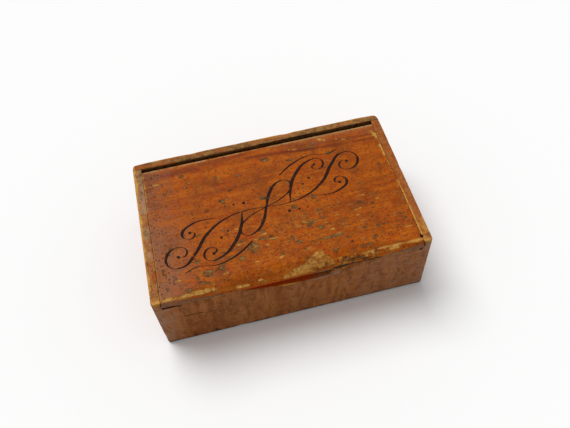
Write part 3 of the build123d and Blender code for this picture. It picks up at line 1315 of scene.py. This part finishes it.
def spotAt(points, at, size, much, turn=0.0, ring=0.0):
    angle = radians(turn)
    across = (points[:, :2] - at) @ np.array(((cos(angle), -sin(angle)), (sin(angle), cos(angle))))
    away = np.linalg.norm(across / size, axis=1)
    if ring:
        return much * np.clip(1.3 - np.abs(away - ring) / (1 - ring), 0, 1)
    return much * np.clip(1.4 - away, 0, 1)


# Lines of bare wood: start, end, width, and how bare.
lidBare = [
    ((-46.4, 26.6), (20, 26.6), 0.4, 0.45),
    ((8, 26.5), (46.4, 26.5), 0.6, 0.6),
    ((46.5, -6), (46.5, 9), 0.5, 0.6),
    ((46.5, 9), (46.5, 22), 0.6, 0.8),
    ((46.0, 10), (46.0, 15), 0.75, 0.7),
    ((46.0, 19), (46.0, 22), 0.7, 0.75),
    ((-46.5, -31), (-46.5, 26.5), 0.4, 0.6),
    ((-46.3, 18.6), (-43.4, 18.8), 0.35, 0.8),
    ((-43.2, 18.9), (-40.8, 19.1), 0.6, 0.8),
    ((23.6, 24.4), (26.0, 24.0), 0.7, 0.85),
    ((25.0, 23.6), (25.6, 22.8), 0.5, 0.75),
    ((21.0, 23.6), (22.2, 23.3), 0.4, 0.8),
    ((18.6, 21.8), (20.4, 21.6), 0.45, 0.7),
    ((12.2, 22.2), (13.8, 21.9), 0.6, 0.8),
    ((10.6, 22.6), (11.2, 22.4), 0.4, 0.7),
    ((30.0, 22.9), (30.6, 22.7), 0.5, 0.8),
    ((32.8, 22.0), (33.6, 21.8), 0.5, 0.85),
    ((43.6, 23.4), (44.0, 22.2), 0.4, 0.75),
    ((45.2, 22.6), (45.6, 21.2), 0.8, 0.9),
    ((43.0, 20.8), (45.0, 20.5), 0.4, 0.7),
    ((34.8, 19.8), (36.0, 19.6), 0.4, 0.65),
    ((1.4, 24.8), (2.2, 24.4), 0.4, 0.7),
    ((-8.4, 15.2), (-7.9, 17.0), 0.25, 0.7),
    ((-4.6, 20.4), (-4.4, 21.4), 0.3, 0.6),
    ((-3.6, -24.4), (-2.4, -24.0), 0.6, 0.7),
    ((6.4, -23.4), (8.0, -23.0), 0.5, 0.75),
    ((8.0, -12.6), (13.0, -12.2), 0.55, 0.6),
    ((13.4, -8.4), (14.8, -8.0), 0.6, 0.55),
    ((-12.4, -17.6), (-11.0, -18.6), 1.3, 0.5),
    ((16.4, -17.9), (17.8, -17.7), 0.6, 0.85),
    ((-10.7, -15.0), (-9.6, -14.8), 0.45, 0.8),
    ((-23.8, -25.8), (-22.4, -25.7), 0.4, 0.85),
    ((-28.6, -29.8), (-28.2, -28.0), 0.3, 0.7),
    ((-9.1, 15.4), (-8.9, 17.4), 0.3, 0.55),
    ((-29.9, 17.0), (-29.5, 16.6), 0.5, 0.6),
    ((-20, -19.9), (-15, -18.6), 0.4, 0.5),
]

# The same along the worn front edge. The second number of a place is how far up from its foot, unrolled.
frontBare = [
    ((-47, 1.4), (-36, 2.0), 1.15, 0.85),
    ((-34.5, 2.4), (-28.8, 2.7), 1.5, 0.95),
    ((-28.4, 3.0), (-27.6, 5.6), 0.35, 0.9),
    ((-27.5, 1.5), (-21, 1.4), 0.8, 0.5),
    ((-20.4, 1.7), (-16.8, 1.5), 1.05, 1.0),
    ((-13, 1.4), (-5, 1.6), 0.6, 0.5),
    ((-12.6, 2.6), (-11.6, 2.6), 0.6, 0.8),
    ((14.6, 1.2), (24, 1.2), 0.8, 0.55),
    ((16.2, 4.0), (17.2, 4.2), 0.6, 0.75),
    ((24, 2.0), (30.5, 2.4), 0.9, 0.55),
    ((26.0, 3.8), (28.4, 4.0), 1.0, 0.75),
    ((31.0, 4.2), (36.0, 3.7), 0.85, 0.8),
    ((35.0, 2.5), (37.2, 2.5), 1.2, 1.0),
    ((31.5, 2.4), (35.0, 2.3), 0.7, 0.5),
    ((36.0, 3.5), (40.5, 2.9), 1.0, 0.9),
    ((40.5, 2.9), (46.8, 2.2), 1.05, 0.9),
]

# The thumb has worn a mound of bare wood. Its outline runs up to its top and down again.
moundOutline = [
    (-4.5, 1.8), (0.0, 4.4), (4.0, 5.4), (7.0, 8.4), (9.4, 10.2),
    (11.0, 9.6), (12.8, 6.6), (14.4, 4.6), (15.0, 1.0),
]


def moundAt(x, up):
    rise = np.interp(x, *np.array(moundOutline).T, left=-4, right=-4)
    return np.clip(0.5 + (rise - up) / 1.3, 0, 1) * smooth(up, 0.0, 0.4)


# Dull olive and grey marks: place, size, how dull, and for some a turn in degrees and a ring's hollow share.
lidFaded = [
    ((-3.2, 2.1), (2.2, 1.0), 0.95),
    ((-19.0, 4.6), (0.9, 1.9), 0.85, 40),
    ((-11.8, -17.8), (2.2, 2.2), 0.95),
    ((16.0, -20.8), (5.6, 0.55), 0.85),
    ((33.4, -20.8), (1.1, 0.8), 0.8),
    ((36.0, -20.6), (2.8, 0.25), 0.7),
    ((-29.2, -24.2), (2.1, 1.7), 0.8, 0, 0.6),
    ((-29.2, -24.2), (0.6, 0.5), 0.6),
    ((-43.8, -20.5), (1.2, 1.1), 0.75),
    ((-36.0, -29.0), (1.4, 1.0), 0.75),
    ((-32.8, -25.0), (0.8, 1.3), 0.65, 15),
    ((-30.6, -27.4), (2.8, 1.1), 0.6, -20),
    ((11.6, -12.4), (4.6, 0.6), 0.75, 3),
    ((14.4, -8.6), (1.6, 0.8), 0.65),
    ((9.6, -8.8), (1.2, 0.7), 0.6),
    ((13.6, -15.8), (2.0, 1.1), 0.55, -8),
    ((-24.4, -22.8), (2.4, 1.0), 0.7, 25),
    ((-32.6, -17.4), (0.8, 0.7), 0.7),
    ((-19.4, 16.6), (0.9, 0.9), 0.75, 0, 0.5),
    ((-32.0, 20.6), (1.4, 1.2), 0.65, 0, 0.5),
    ((0.6, 20.2), (2.3, 1.2), 0.8),
    ((10.0, 17.3), (1.7, 0.9), 0.7),
    ((25.0, 17.0), (1.2, 0.7), 0.45),
    ((4.4, -19.8), (1.2, 0.9), 0.75, 0, 0.5),
    ((6.2, -23.3), (1.4, 0.35), 0.8),
    ((-7.3, -12.0), (1.6, 0.8), 0.7),
    ((-4.0, -16.4), (2.6, 0.5), 0.55),
    ((24.3, -5.0), (1.6, 0.9), 0.5),
    ((33.8, -11.6), (1.8, 1.2), 0.45),
    ((22.5, -17.6), (3.4, 0.4), 0.6),
    ((14.0, -12.6), (5.2, 0.45), 0.5),
    ((20.5, -14.8), (2.0, 0.4), 0.55),
    ((28.0, -27.2), (1.6, 0.8), 0.6),
    ((5.0, -31.0), (8.5, 1.9), 0.5, 4),
    ((-20.5, -8.0), (0.5, 3.6), 0.45, -8),
    ((-13.0, -16.0), (6.5, 0.4), 0.4, -3),
    ((-5.0, 10.2), (2.0, 0.5), 0.35),
    ((-34.6, 7.8), (0.5, 1.5), 0.4),
    ((-31.0, 14.6), (0.6, 0.8), 0.5),
]

# Nearly black marks.
lidDark = [
    ((-3.0, 2.0), (1.4, 0.5), 0.75),
    ((-26.9, -5.2), (0.5, 0.5), 0.8),
    ((41.0, 3.0), (0.4, 0.4), 0.55),
    ((39.8, -3.6), (0.9, 0.4), 0.6),
    ((-38.6, -27.6), (0.5, 0.4), 0.6),
    ((-21.5, 5.6), (0.8, 0.25), 0.6),
    ((9.8, -23.0), (0.4, 0.5), 0.6),
    ((30.2, -9.6), (0.16, 4.6), 0.5, -32),
    ((-4.2, -25.7), (0.5, 0.6), 0.65),
    ((22.7, -24.5), (0.5, 0.7), 0.7),
    ((13.5, -26.0), (0.5, 0.6), 0.6),
    ((21.0, -32.2), (0.9, 0.5), 0.7, 35),
    ((24.6, -31.6), (1.2, 0.35), 0.65, 30),
    ((16.0, -32.6), (0.8, 0.4), 0.6, -30),
    ((24.0, -14.4), (0.6, 0.3), 0.6),
    ((42.0, -31.8), (4.4, 0.35), 0.5, -4),
    ((25.0, -33.5), (4.6, 0.35), 0.85, -2),
    ((18.2, -10.8), (0.3, 0.3), 0.7),
    ((-30.2, 13.6), (0.4, 0.9), 0.6),
    ((-39.4, 8.4), (0.35, 1.1), 0.6),
    ((-45.2, 6.2), (0.25, 0.7), 0.7),
    ((-30.8, 2.2), (0.6, 0.5), 0.7, 40),
    ((-19.6, 5.2), (0.8, 0.4), 0.75),
]

# Dark red-brown streaks in the grain: start, end, width, and how dark.
lidHeart = [
    ((-6, 22.9), (8, 22.0), 0.8, 0.75),
    ((8, 22.0), (22, 20.2), 0.9, 0.9),
    ((22, 20.2), (45, 19.4), 1.0, 0.95),
    ((10, 23.4), (44, 21.4), 0.8, 0.6),
    ((-30, 24.6), (-6, 24.8), 1.4, 0.45),
    ((-46, 22.5), (-26, 23.4), 2.0, 0.7),
    ((-45.5, 26), (-44.5, 14), 2.4, 0.45),
    ((-44, 9.0), (2, 11.0), 1.2, 0.35),
    ((-26, 13.0), (6, 14.0), 0.9, 0.3),
    ((-40, 1.0), (-14, 0.0), 1.0, 0.3),
    ((8, -7.5), (36, -8.6), 0.9, 0.3),
]


smallMarkValues = {
    "count": 130,
    "x": (-44, 45),
    "y": (-29, 25),
    "smallest": 0.3,
    "largest": 1.25,
    "much": (0.45, 0.85),
    "turn": (-30, 30),
    "rings": (0, 0, 0.45),       # one in three is a ring
    "stretch": (1.0, 1.9),
    "fewest": 0.25,              # the share that is kept at the back
    "thinning": (12, -22),
    "seed": 17,
}


def smallMarks():                                    # more dull marks, most of them towards the front
    values = smallMarkValues
    rng = np.random.default_rng(values["seed"])
    marks = []
    while len(marks) < values["count"]:
        x, y = rng.uniform(*values["x"]), rng.uniform(*values["y"])
        size = values["smallest"] + rng.power(0.5) * (values["largest"] - values["smallest"])
        much, turn = rng.uniform(*values["much"]), rng.uniform(*values["turn"])
        ring = rng.choice(values["rings"])
        if rng.uniform() < values["fewest"] + (1 - values["fewest"]) * smooth(y, *values["thinning"]):
            marks.append(((x, y), (size * rng.uniform(*values["stretch"]), size), much, turn, ring))
    return marks


chipValues = {
    "count": 44,
    "middle": (12, -14),
    "scatter": (15, 8),
    "low": (-40, -28),
    "high": (44, 20),
    "length": (0.5, 3.0),
    "lean": (-0.1, 0.2),
    "much": (0.45, 0.85),
    "width": (0.28, 0.5),
    "seed": 23,
}


def smallChips():                                    # short scratches down to bare wood
    values = chipValues
    rng = np.random.default_rng(values["seed"])
    chips = []
    while len(chips) < values["count"]:
        x, y = np.clip(rng.normal(values["middle"], values["scatter"]), values["low"], values["high"])
        length, lean = rng.uniform(*values["length"]), rng.uniform(*values["lean"])
        much, width = rng.uniform(*values["much"]), rng.uniform(*values["width"])
        chips.append(((x, y), (x + length, y + length * lean), width, much))
    return chips


# How the finish has worn away from those marks, and where shade is painted. Spans are along x, unless they
# say otherwise.
lidWear = {
    "marginLeft": (-24, -47),                        # plum-brown and dull towards the left end
    "marginLeftBack": (-10, 8),                      # along y: a little less so at the back
    "marginCorner": ((-16, -30), (-20, -26)),        # and at the front left corner, along x and y
    "marginBack": ((-5, 20), (19, 24)),              # and at the back, on the right
    "moundShade": ((4, 9), (2.2, 0.9)),              # the mound's foot is darker: along x, and up the edge
    "rubbed": ((14, 16), (32, 29), (6.0, 3.5)),      # speckled right of the mound: the same
    "backArris": (1.15, 0.75),                       # bare from the back arris this far in
    "backArrisFoot": (1.6, 1.0),                     # and this far down,
    "backRight": (0, 14),                            # most on the right
    "redFoot": ((-30, -14), (10, 4)),                # the worn edge is red at its foot, over the scoop
    "thumbed": ((3, 8), (20, 15)),                   # and painted dark under the mound, as shade on the worn edge's front face
    "shadeLineDepth": 0.35,                              # a painted shadow line runs under the worn edge
    "shadeLineWidth": 0.5,
    "shadeLines": (                                      # where it shows, and how dark
        ((12, 14.5), (23, 19), 1.3),
        ((17, 20), (35, 29), 0.8),
    ),
    "shadeLineLeft": ((-14, -22), 0.48),
    "crossed": ((-12, -2), (34, 22), (-24, -20), (-6, -12)),       # most marked here, along x and y
    "markedFront": (10, -12),                        # along y
    "pittedLeft": (-37, -42),
    "pittedFront": (0, -22),                         # along y
}


def strongest(layers):
    return reduce(np.maximum, layers)


def lidMargin(solid):
    x, y, z = solid.T
    blotches = 0.5 + 0.5 * layeredNoise(solid, (5, 7, 5), seed=96)
    left = smooth(x, *lidWear["marginLeft"]) * (1 - 0.3 * smooth(y, *lidWear["marginLeftBack"]))
    return strongest((
        left * (0.6 + 0.6 * blotches),
        spanned((x, y), lidWear["marginCorner"]) * 0.75 * blotches,
        spanned((x, y), lidWear["marginBack"]) * (0.2 + 0.4 * blotches),
    ))


def lidDirtAndShade(solid, flat, ripple):                    # dark marks, and painted shade down its sides, at its back, in the hole and under the worn edge
    x, y, z = solid.T
    beside = np.abs(x) > lidHalf - 0.1 + (lidHigh[2] - z) * sideLean
    below = z < lidHigh[2] - 0.8
    drop = lidHigh[2] - z - frontDrop(x)
    front = y < lidLow[1] + 0.5
    shadeLine = np.clip(1.4 - np.abs(drop - lidWear["shadeLineDepth"]) / lidWear["shadeLineWidth"], 0, 1) * front
    span, much = lidWear["shadeLineLeft"]
    shadedSpans = [much * smooth(x, *span)]
    shadedSpans += [much * spanned((x, x), spans) for *spans, much in lidWear["shadeLines"]]
    return strongest([
        *(spotAt(flat, *spot) for spot in lidDark),
        # painted shade in the gaps beside and behind the lid, and in the hole
        0.6 * beside * below,
        0.5 * (y > lidHigh[1] - 0.35) * below,
        0.7 * bowl(solid[:, :2], lidHole["at"], lidHole["size"]),
        # painted shadow line under the worn front edge
        shadeLine * strongest(shadedSpans) * (0.9 + 0.4 * ripple),
    ])


def paintLid():
    solid = pointsOf(lidPanel)
    flat = unrolled(solid)
    x, y, z = solid.T
    drop = lidHigh[2] - z
    up = flat[:, 1] - lidLow[1] + frontDrop(x)           # how far up from the foot of the worn edge
    edge = np.stack([x, up], axis=1)
    ripple = layeredNoise(flat, 2.2, seed=95)
    speckle = layeredNoise(solid, (1.3, 1.3, 1.3), seed=97)
    mound = moundAt(x + 0.7 * ripple, up)
    shaded = spanned((x, up), lidWear["moundShade"])
    rubbed = spanned((x, x, up), lidWear["rubbed"])

    bare = strongest(
        much * bandAt(places, start, end, width * (1 + 0.55 * ripple)) * (1 + 0.35 * ripple)
        for places, bands in ((flat, lidBare + smallChips()), (edge, frontBare))
        for start, end, width, much in bands
    )
    moundBare = (0.7 + 0.24 * speckle - 0.4 * shaded) * mound
    bare = strongest((bare, moundBare, 0.8 * smooth(speckle, 0.0, 0.3) * rubbed))
    faded = strongest(spotAt(flat, *spot) for spot in lidFaded + smallMarks())
    moundFaded = 0.66 * smooth(layeredNoise(solid, 1.8, seed=98), -0.1, 0.4) * mound
    faded = strongest((faded, moundFaded, 0.75 * smooth(speckle, 0.1, -0.2) * rubbed))
    heart = strongest(much * bandAt(flat, start, end, width) for start, end, width, much in lidHeart)

    backArris = smooth(lidHigh[1] - y, *lidWear["backArris"]) * smooth(drop, *lidWear["backArrisFoot"])
    toRight = smooth(x, *lidWear["backRight"])
    rubbedBack = 0.95 * backArris * np.clip(0.45 + 0.8 * ripple + 0.6 * toRight, 0, 1)
    below = smooth(drop - frontDrop(x), -0.05, 0.3) * (y < lidLow[1] + 0.5)
    warm, thumbed = (spanned((x, x), lidWear[key]) for key in ("redFoot", "thumbed"))
    crossed = spanned((x, x, y, y), lidWear["crossed"])
    top = smooth(z, lidLow[2] + 0.1, lidLow[2] + 0.3)
    pitted = 0.95 * smooth(x, *lidWear["pittedLeft"]) + 0.35 * smooth(y, *lidWear["pittedFront"]) + 0.2

    layers = {
        "face": below * (1 - warm) * (1 - thumbed),
        "warm": below * warm * 0.9,
        "bare": bare * top * (1 - below),
        "faded": faded * top,
        "grime": lidDirtAndShade(solid, flat, ripple),
        # the heart colour under the mound is painted shade
        "heart": np.maximum(heart * top, below * thumbed),
        "plum": lidMargin(solid),
        "marked": np.maximum(crossed, 0.3 * smooth(y, *lidWear["markedFront"])) * top,
        "pitted": pitted,
        "raw": np.maximum(rubbedBack, z < lidLow[2] + 0.35),
    }
    for layer, amount in layers.items():
        paint(lidPanel, layer, amount)


paintLid()


# Brads: one on each of their places, by Geometry Nodes

bradValues = {
    "head": 0.53,                # radius
    "dome": 0.16,                # height of the head's crown
    "shank": 0.36,
    "point": 0.35,               # its radius at the point, as a share
    "length": 7.9,
    "sunk": 0.05,
    "tilt": 0.08,                # how far a brad may lean
    "seed": 5,
}


def bradShapes():
    sizes = {key: "Float" for key in ("head", "dome", "shank", "point", "length", "sunk", "tilt")}
    t = Shapes("bradsOnPlaces", {**sizes, "seed": "Int", "material": "Material"})
    ball = t.make("GeometryNodeMeshUVSphere", {}, {"Segments": 14, "Rings": 8, "Radius": t.given("head")})
    domed = t.vector(1.0, 1.0, t.given("dome") / t.given("head"))
    head = t.make("GeometryNodeTransform", {}, {"Geometry": ball, "Scale": domed})
    cone = t.make("GeometryNodeMeshCone", {}, {
        "Vertices": 12,
        "Radius Top": t.given("shank"),
        "Radius Bottom": t.given("shank") * t.given("point"),
        "Depth": t.given("length"),
    })
    down = t.vector(0.0, 0.0, -t.given("length"))
    shank = t.make("GeometryNodeTransform", {}, {"Geometry": cone, "Translation": down})
    brad = t.make("GeometryNodeJoinGeometry", {}, {0: [head, shank]})
    depth = t.vector(0.0, 0.0, -(t.given("sunk") + t.given("dome")))
    brad = t.make("GeometryNodeTransform", {}, {"Geometry": brad, "Translation": depth})
    facing = t.make("GeometryNodeInputNamedAttribute", {"data_type": "FLOAT_VECTOR"}, {"Name": "facing"})
    tilt = t.given("tilt")
    most, least = t.vector(tilt, tilt, tilt), t.vector(-tilt, -tilt, -tilt)
    limits = {"Min": least, "Max": most, "Seed": t.given("seed")}
    wobble = t.make("FunctionNodeRandomValue", {"data_type": "FLOAT_VECTOR"}, limits)
    leaning = t.make("ShaderNodeVectorMath", {}, {0: facing, 1: wobble})
    turned = t.make("FunctionNodeAlignRotationToVector", {"axis": "Z"}, {"Vector": leaning})
    driven = {"Points": t.given("shape"), "Instance": brad, "Rotation": turned}
    t.finish(t.make("GeometryNodeInstanceOnPoints", {}, driven), t.given("material"))
    return t


def buildBrads(places, name, shapes, material):
    mesh = bpy.data.meshes.new(name)
    mesh.from_pydata([Vector(head) * mm for head, facing in places], [], [])
    facings = mesh.attributes.new("facing", "FLOAT_VECTOR", "POINT")
    facings.data.foreach_set("vector", np.array([facing for head, facing in places]).ravel())
    carrier = newObject(name + "Places", mesh)
    sizes = {key: bradValues[key] * mm for key in ("head", "dome", "shank", "length", "sunk")}
    shares = {key: bradValues[key] for key in ("point", "tilt", "seed")}
    shapes.applyTo(carrier, {**sizes, **shares, "material": material})
    brads = plainMesh(carrier, name)
    brads.data.shade_smooth()
    return brads


bradNodes = bradShapes()
cornerBrads = buildBrads(cornerBradPlaces, "cornerBrads", bradNodes, stainedIron)
bottomBrads = buildBrads(bottomBradPlaces, "bottomBrads", bradNodes, bradIron)
print("brads driven")


# Pen flourish on the lid: strokes drawn with a slanting nib, the same again turned half round

flourishValues = {
    "centre": (-3.5, -2.0),
    "turn": 20,                  # degrees
    "hair": 0.13,                # half the width of the thinnest line
    "swell": 0.45,               # added where the pen runs along its slant
    "slant": 66,                 # degrees
    "ball": 0.62,                # radius of the ball at the end of a curl
    "balls": ("stem", "upper", "lower"),
    "step": 0.3,
    "proud": 0.012,              # the ink stands this far out of the lid
    "deep": 0.04,                # and goes this far in
    "layer": 0.0015,             # strokes lie this much over each other where they cross
}

# Each point is u and v in millimetres from the centre, and how hard the pen presses.
flourishStrokes = {
    "stem": [
        (0, 0, 0.7), (6.5, -2.8, 0.8), (15, -4.2, 0.9), (24, -2.2, 1.1), (31.5, 2.6, 1.1), (37.6, 4.8, 1.0),
        (41.6, 1.8, 1.0), (40, -2.6, 0.9), (35.6, -3.4, 0.8), (33.2, -0.6, 0.7), (35.2, 1.4, 0.6),
        (37.0, 0.4, 0.6),
    ],
    "upper": [
        (8.5, -3.4, 0.3), (11.6, 1.4, 1.0), (17.5, 6.6, 1.2), (24.6, 9.0, 1.0), (29.0, 7.4, 0.9),
        (28.6, 4.2, 0.8), (25.4, 3.6, 0.7), (24.4, 5.6, 0.6), (25.9, 6.2, 0.6),
    ],
    "lower": [
        (15.5, -4.2, 0.3), (20.5, -7.8, 0.9), (26.8, -9.2, 1.0), (31.4, -7.4, 1.0), (31.0, -4.6, 0.8),
        (28.4, -4.0, 0.7), (27.5, -5.7, 0.6), (28.8, -6.3, 0.6),
    ],
    "loop": [
        (0, 0, 0.8), (4.2, 4.6, 1.1), (9.4, 7.2, 0.9), (13.2, 5.6, 0.8), (12.2, 2.2, 0.7), (7.4, 0.2, 0.6),
        (0, 0, 0.5),
    ],
    "hair": [(12, 9.6, 0.5), (19, 11.4, 0.9), (27, 11.0, 0.8), (33.5, 7.6, 0.7), (38.0, 7.4, 0.4)],
}
flourishDots = [                                     # u, v and radius
    (6.0, -6.4, 0.60), (9.4, -7.9, 0.45), (12.4, -9.0, 0.32),
    (20.4, 2.0, 0.55), (17.0, 0.9, 0.42), (14.2, 0.0, 0.30),
]


def onLid(u, v):                                     # a point of the flourish, in millimetres on the lid
    turn = radians(flourishValues["turn"])
    middle = flourishValues["centre"]
    return (middle[0] + u * cos(turn) - v * sin(turn), middle[1] + u * sin(turn) + v * cos(turn))


def penShapes():
    sizes = {key: "Float" for key in ("hair", "swell", "slant", "step")}
    t = Shapes("penStrokes", {**sizes, "material": "Material"})
    spaced = {"Curve": t.given("shape"), "Length": t.given("step")}
    fine = t.make("GeometryNodeResampleCurve", {"mode": "LENGTH"}, spaced)
    heading = t.make("GeometryNodeInputTangent")
    slant = t.given("slant")
    nib = t.vector(t.maths("COSINE", slant), t.maths("SINE", slant), 0.0)
    sweep = t.make("ShaderNodeVectorMath", {"operation": "DOT_PRODUCT"}, {0: heading, 1: nib}, "Value")
    pressed = (t.given("hair") + t.given("swell") * sweep * sweep) * t.make("GeometryNodeInputRadius")
    inked = t.make("GeometryNodeSetCurveRadius", {}, {"Curve": fine, "Radius": pressed})
    level = t.make("GeometryNodeSetCurveNormal", {"mode": "Z_UP"}, {"Curve": inked})
    nibLine = t.make("GeometryNodeCurvePrimitiveQuadrilateral", {}, {"Width": 2.0, "Height": 0.1})
    radius = t.make("GeometryNodeInputRadius")
    drawn = {"Curve": level, "Profile Curve": nibLine, "Scale": radius, "Fill Caps": True}
    t.finish(t.make("GeometryNodeCurveToMesh", {}, drawn), t.given("material"))
    return t


def dotShapes():
    t = Shapes("inkDots", {"material": "Material"})
    dot = t.make("GeometryNodeMeshCylinder", {}, {"Vertices": 22, "Radius": 1.0, "Depth": 0.1})
    size = t.make("GeometryNodeInputNamedAttribute", {}, {"Name": "size"})
    dots = {"Points": t.given("shape"), "Instance": dot, "Scale": t.vector(size, size, size)}
    t.finish(t.make("GeometryNodeInstanceOnPoints", {}, dots), t.given("material"))
    return t


def penLines(finish):
    curve = bpy.data.curves.new("penLines", "CURVE")
    curve.dimensions = "3D"
    curve.resolution_u = 16
    for points in flourishStrokes.values():
        for side in (1, -1):
            spline = curve.splines.new("BEZIER")
            spline.bezier_points.add(len(points) - 1)
            stroke = len(curve.splines)                  # each stroke is drawn on a level of its own
            for knot, (u, v, press) in zip(spline.bezier_points, points):
                knot.co = Vector((*onLid(side * u, side * v), stroke)) * mm
                knot.radius = press
                knot.handle_left_type = knot.handle_right_type = "AUTO"
    carrier = newObject("penLinePlaces", curve)
    sizes = {key: flourishValues[key] * mm for key in ("hair", "swell", "step")}
    penShapes().applyTo(carrier, {**sizes, "slant": radians(flourishValues["slant"]), "material": finish})
    return plainMesh(carrier, "penLines")


def inkDots(finish):
    ends = [(*flourishStrokes[name][-1][:2], flourishValues["ball"]) for name in flourishValues["balls"]]
    dots = [(side * u, side * v, size) for u, v, size in ends + flourishDots for side in (1, -1)]
    mesh = bpy.data.meshes.new("inkDotPlaces")
    mesh.from_pydata([Vector((*onLid(u, v), 0)) * mm for u, v, size in dots], [], [])
    sizes = mesh.attributes.new("size", "FLOAT", "POINT")
    sizes.data.foreach_set("value", [size * mm for u, v, size in dots])
    carrier = newObject("inkDotPlaces", mesh)
    dotShapes().applyTo(carrier, {"material": finish})
    return plainMesh(carrier, "inkDots")


def buildFlourish(finish):
    bm = bmesh.new()
    for part in (penLines(finish), inkDots(finish)):
        bm.from_mesh(part.data)
        bpy.data.objects.remove(part)
    mesh = bpy.data.meshes.new("penFlourish")
    bm.to_mesh(mesh)
    bm.free()
    flourish = newObject("penFlourish", mesh)
    points = pointsOf(flourish)
    level = np.round(points[:, 2]) * flourishValues["layer"]
    outwards = np.where(normalsOf(flourish)[:, 2] > 0, flourishValues["proud"], -flourishValues["deep"])
    lidTop = wornTop(points[:, 0], points[:, 1]) - lidDips(points) - dentDepth(points)
    points[:, 2] = lidTop + level + outwards
    setPoints(flourish, points)
    flourish.data.shade_flat()
    return flourish


inkFinish = woodFinish("wornInk", dict(lidLook, ink=paintColour(20, 18, 19), inkWorn=0.41, rough=0.55))
penFlourish = buildFlourish(inkFinish)
print("flourish drawn")


dress(frontBoard, caseAlong, "box", "case_wood", "front_board")
dress(backBoard, caseBack, "box", "case_wood", "back_board")
dress(leftEnd, caseAcross, "box", "case_wood", "left_end")
dress(rightEnd, caseAcross, "box", "case_wood", "right_end")
dress(bottomBoard, caseAlong, "box", "bare_wood", "bottom_board")
dress(lidPanel, lidWood, "lid", "lid_wood", "lid")
dress(penFlourish, inkFinish, "lid", "lid_wood")
dress(cornerBrads, stainedIron, "box", "brad_iron", "corner_brads")
dress(bottomBrads, bradIron, "box", "brad_iron", "bottom_brads")


# Camera, at the photograph's viewing angle

cameraValues = {
    "azimuth": -10.18,           # degrees
    "elevation": 55.17,
    "roll": -4.32,
    "across": 2.61,              # place of the camera in its own axes, in millimetres from the box's foot
    "up": 12.62,
    "away": 254.85,
    "focal": 618.6,              # pixels
    "imageWidth": 570,
    "sensor": 36.0,
    "nearest": 0.01,             # metres
    "farthest": 10.0,
}


def buildCamera():
    turn, tilt, roll = (radians(cameraValues[key]) for key in ("azimuth", "elevation", "roll"))
    back = Vector((sin(turn) * cos(tilt), -cos(turn) * cos(tilt), sin(tilt)))
    level = Vector((0, 0, 1)).cross(back).normalized()
    rise = back.cross(level)
    right = level * cos(roll) + rise * sin(roll)
    above = rise * cos(roll) - level * sin(roll)
    place = right * cameraValues["across"] + above * cameraValues["up"] + back * cameraValues["away"]
    data = bpy.data.cameras.new("camera")
    data.sensor_width = cameraValues["sensor"]
    data.lens = cameraValues["focal"] / cameraValues["imageWidth"] * cameraValues["sensor"]
    data.clip_start, data.clip_end = cameraValues["nearest"], cameraValues["farthest"]
    matrix = Matrix((right, above, back)).transposed().to_4x4()
    matrix.translation = place * mm
    camera = newObject("camera", data)
    camera.matrix_world = matrix
    bpy.context.scene.camera = camera


buildCamera()


# Floor and light

studioValues = {
    "floorSize": 6.0,            # metres
    "floorLevel": -0.0001,       # just under the box's foot
    "floorSeen": (1.0, 1.0, 1.0, 1.0),
    "floorLit": (0.5, 0.5, 0.5, 1.0),
    "sky": 0.42,                 # strength of the light from all around
    "keyStrength": 2.03,
    "keyBreadth": 40,            # degrees: a broad light has soft shadows
    "keyFrom": (-0.24, 0.38, 0.78),
}


def seenRay(f):                                      # 1 for rays that show the background itself
    path = f.make("ShaderNodeLightPath").socket.node
    kinds = ("Is Camera Ray", "Is Glossy Ray", "Is Transmission Ray")
    return reduce(f.most, [Signal(f, path.outputs[kind]) for kind in kinds])


def buildFloor():
    f = Finish("paleFloor")
    colour = f.mix(seenRay(f), studioValues["floorLit"], studioValues["floorSeen"])
    shader = f.make("ShaderNodeBsdfDiffuse", {}, {"Color": colour})
    f.make("ShaderNodeOutputMaterial", {}, {"Surface": shader})
    half, level = studioValues["floorSize"] / 2, studioValues["floorLevel"]
    corners = [(-half, -half, level), (half, -half, level), (half, half, level), (-half, half, level)]
    mesh = bpy.data.meshes.new("floor")
    mesh.from_pydata(corners, [], [(0, 1, 2, 3)])
    mesh.materials.append(f.material)
    floor = newObject("floor", mesh)


def buildLight():
    world = bpy.data.worlds.new("studio")
    bpy.context.scene.world = world
    world.use_nodes = True
    world.node_tree.nodes.clear()
    w = NodeMaker(world.node_tree)
    strength = studioValues["sky"] + seenRay(w) * (1 - studioValues["sky"])
    shader = w.make("ShaderNodeBackground", {}, {"Color": (1.0, 1.0, 1.0, 1.0), "Strength": strength})
    w.make("ShaderNodeOutputWorld", {}, {"Surface": shader})
    lamp = bpy.data.lights.new("key", "SUN")
    lamp.energy = studioValues["keyStrength"]
    lamp.angle = radians(studioValues["keyBreadth"])
    key = newObject("key", lamp)
    key.location = studioValues["keyFrom"]
    key.rotation_mode = "QUATERNION"
    key.rotation_quaternion = Vector(studioValues["keyFrom"]).to_track_quat("Z", "Y")


buildFloor()
buildLight()
bpy.context.scene.view_settings.view_transform = "Standard"
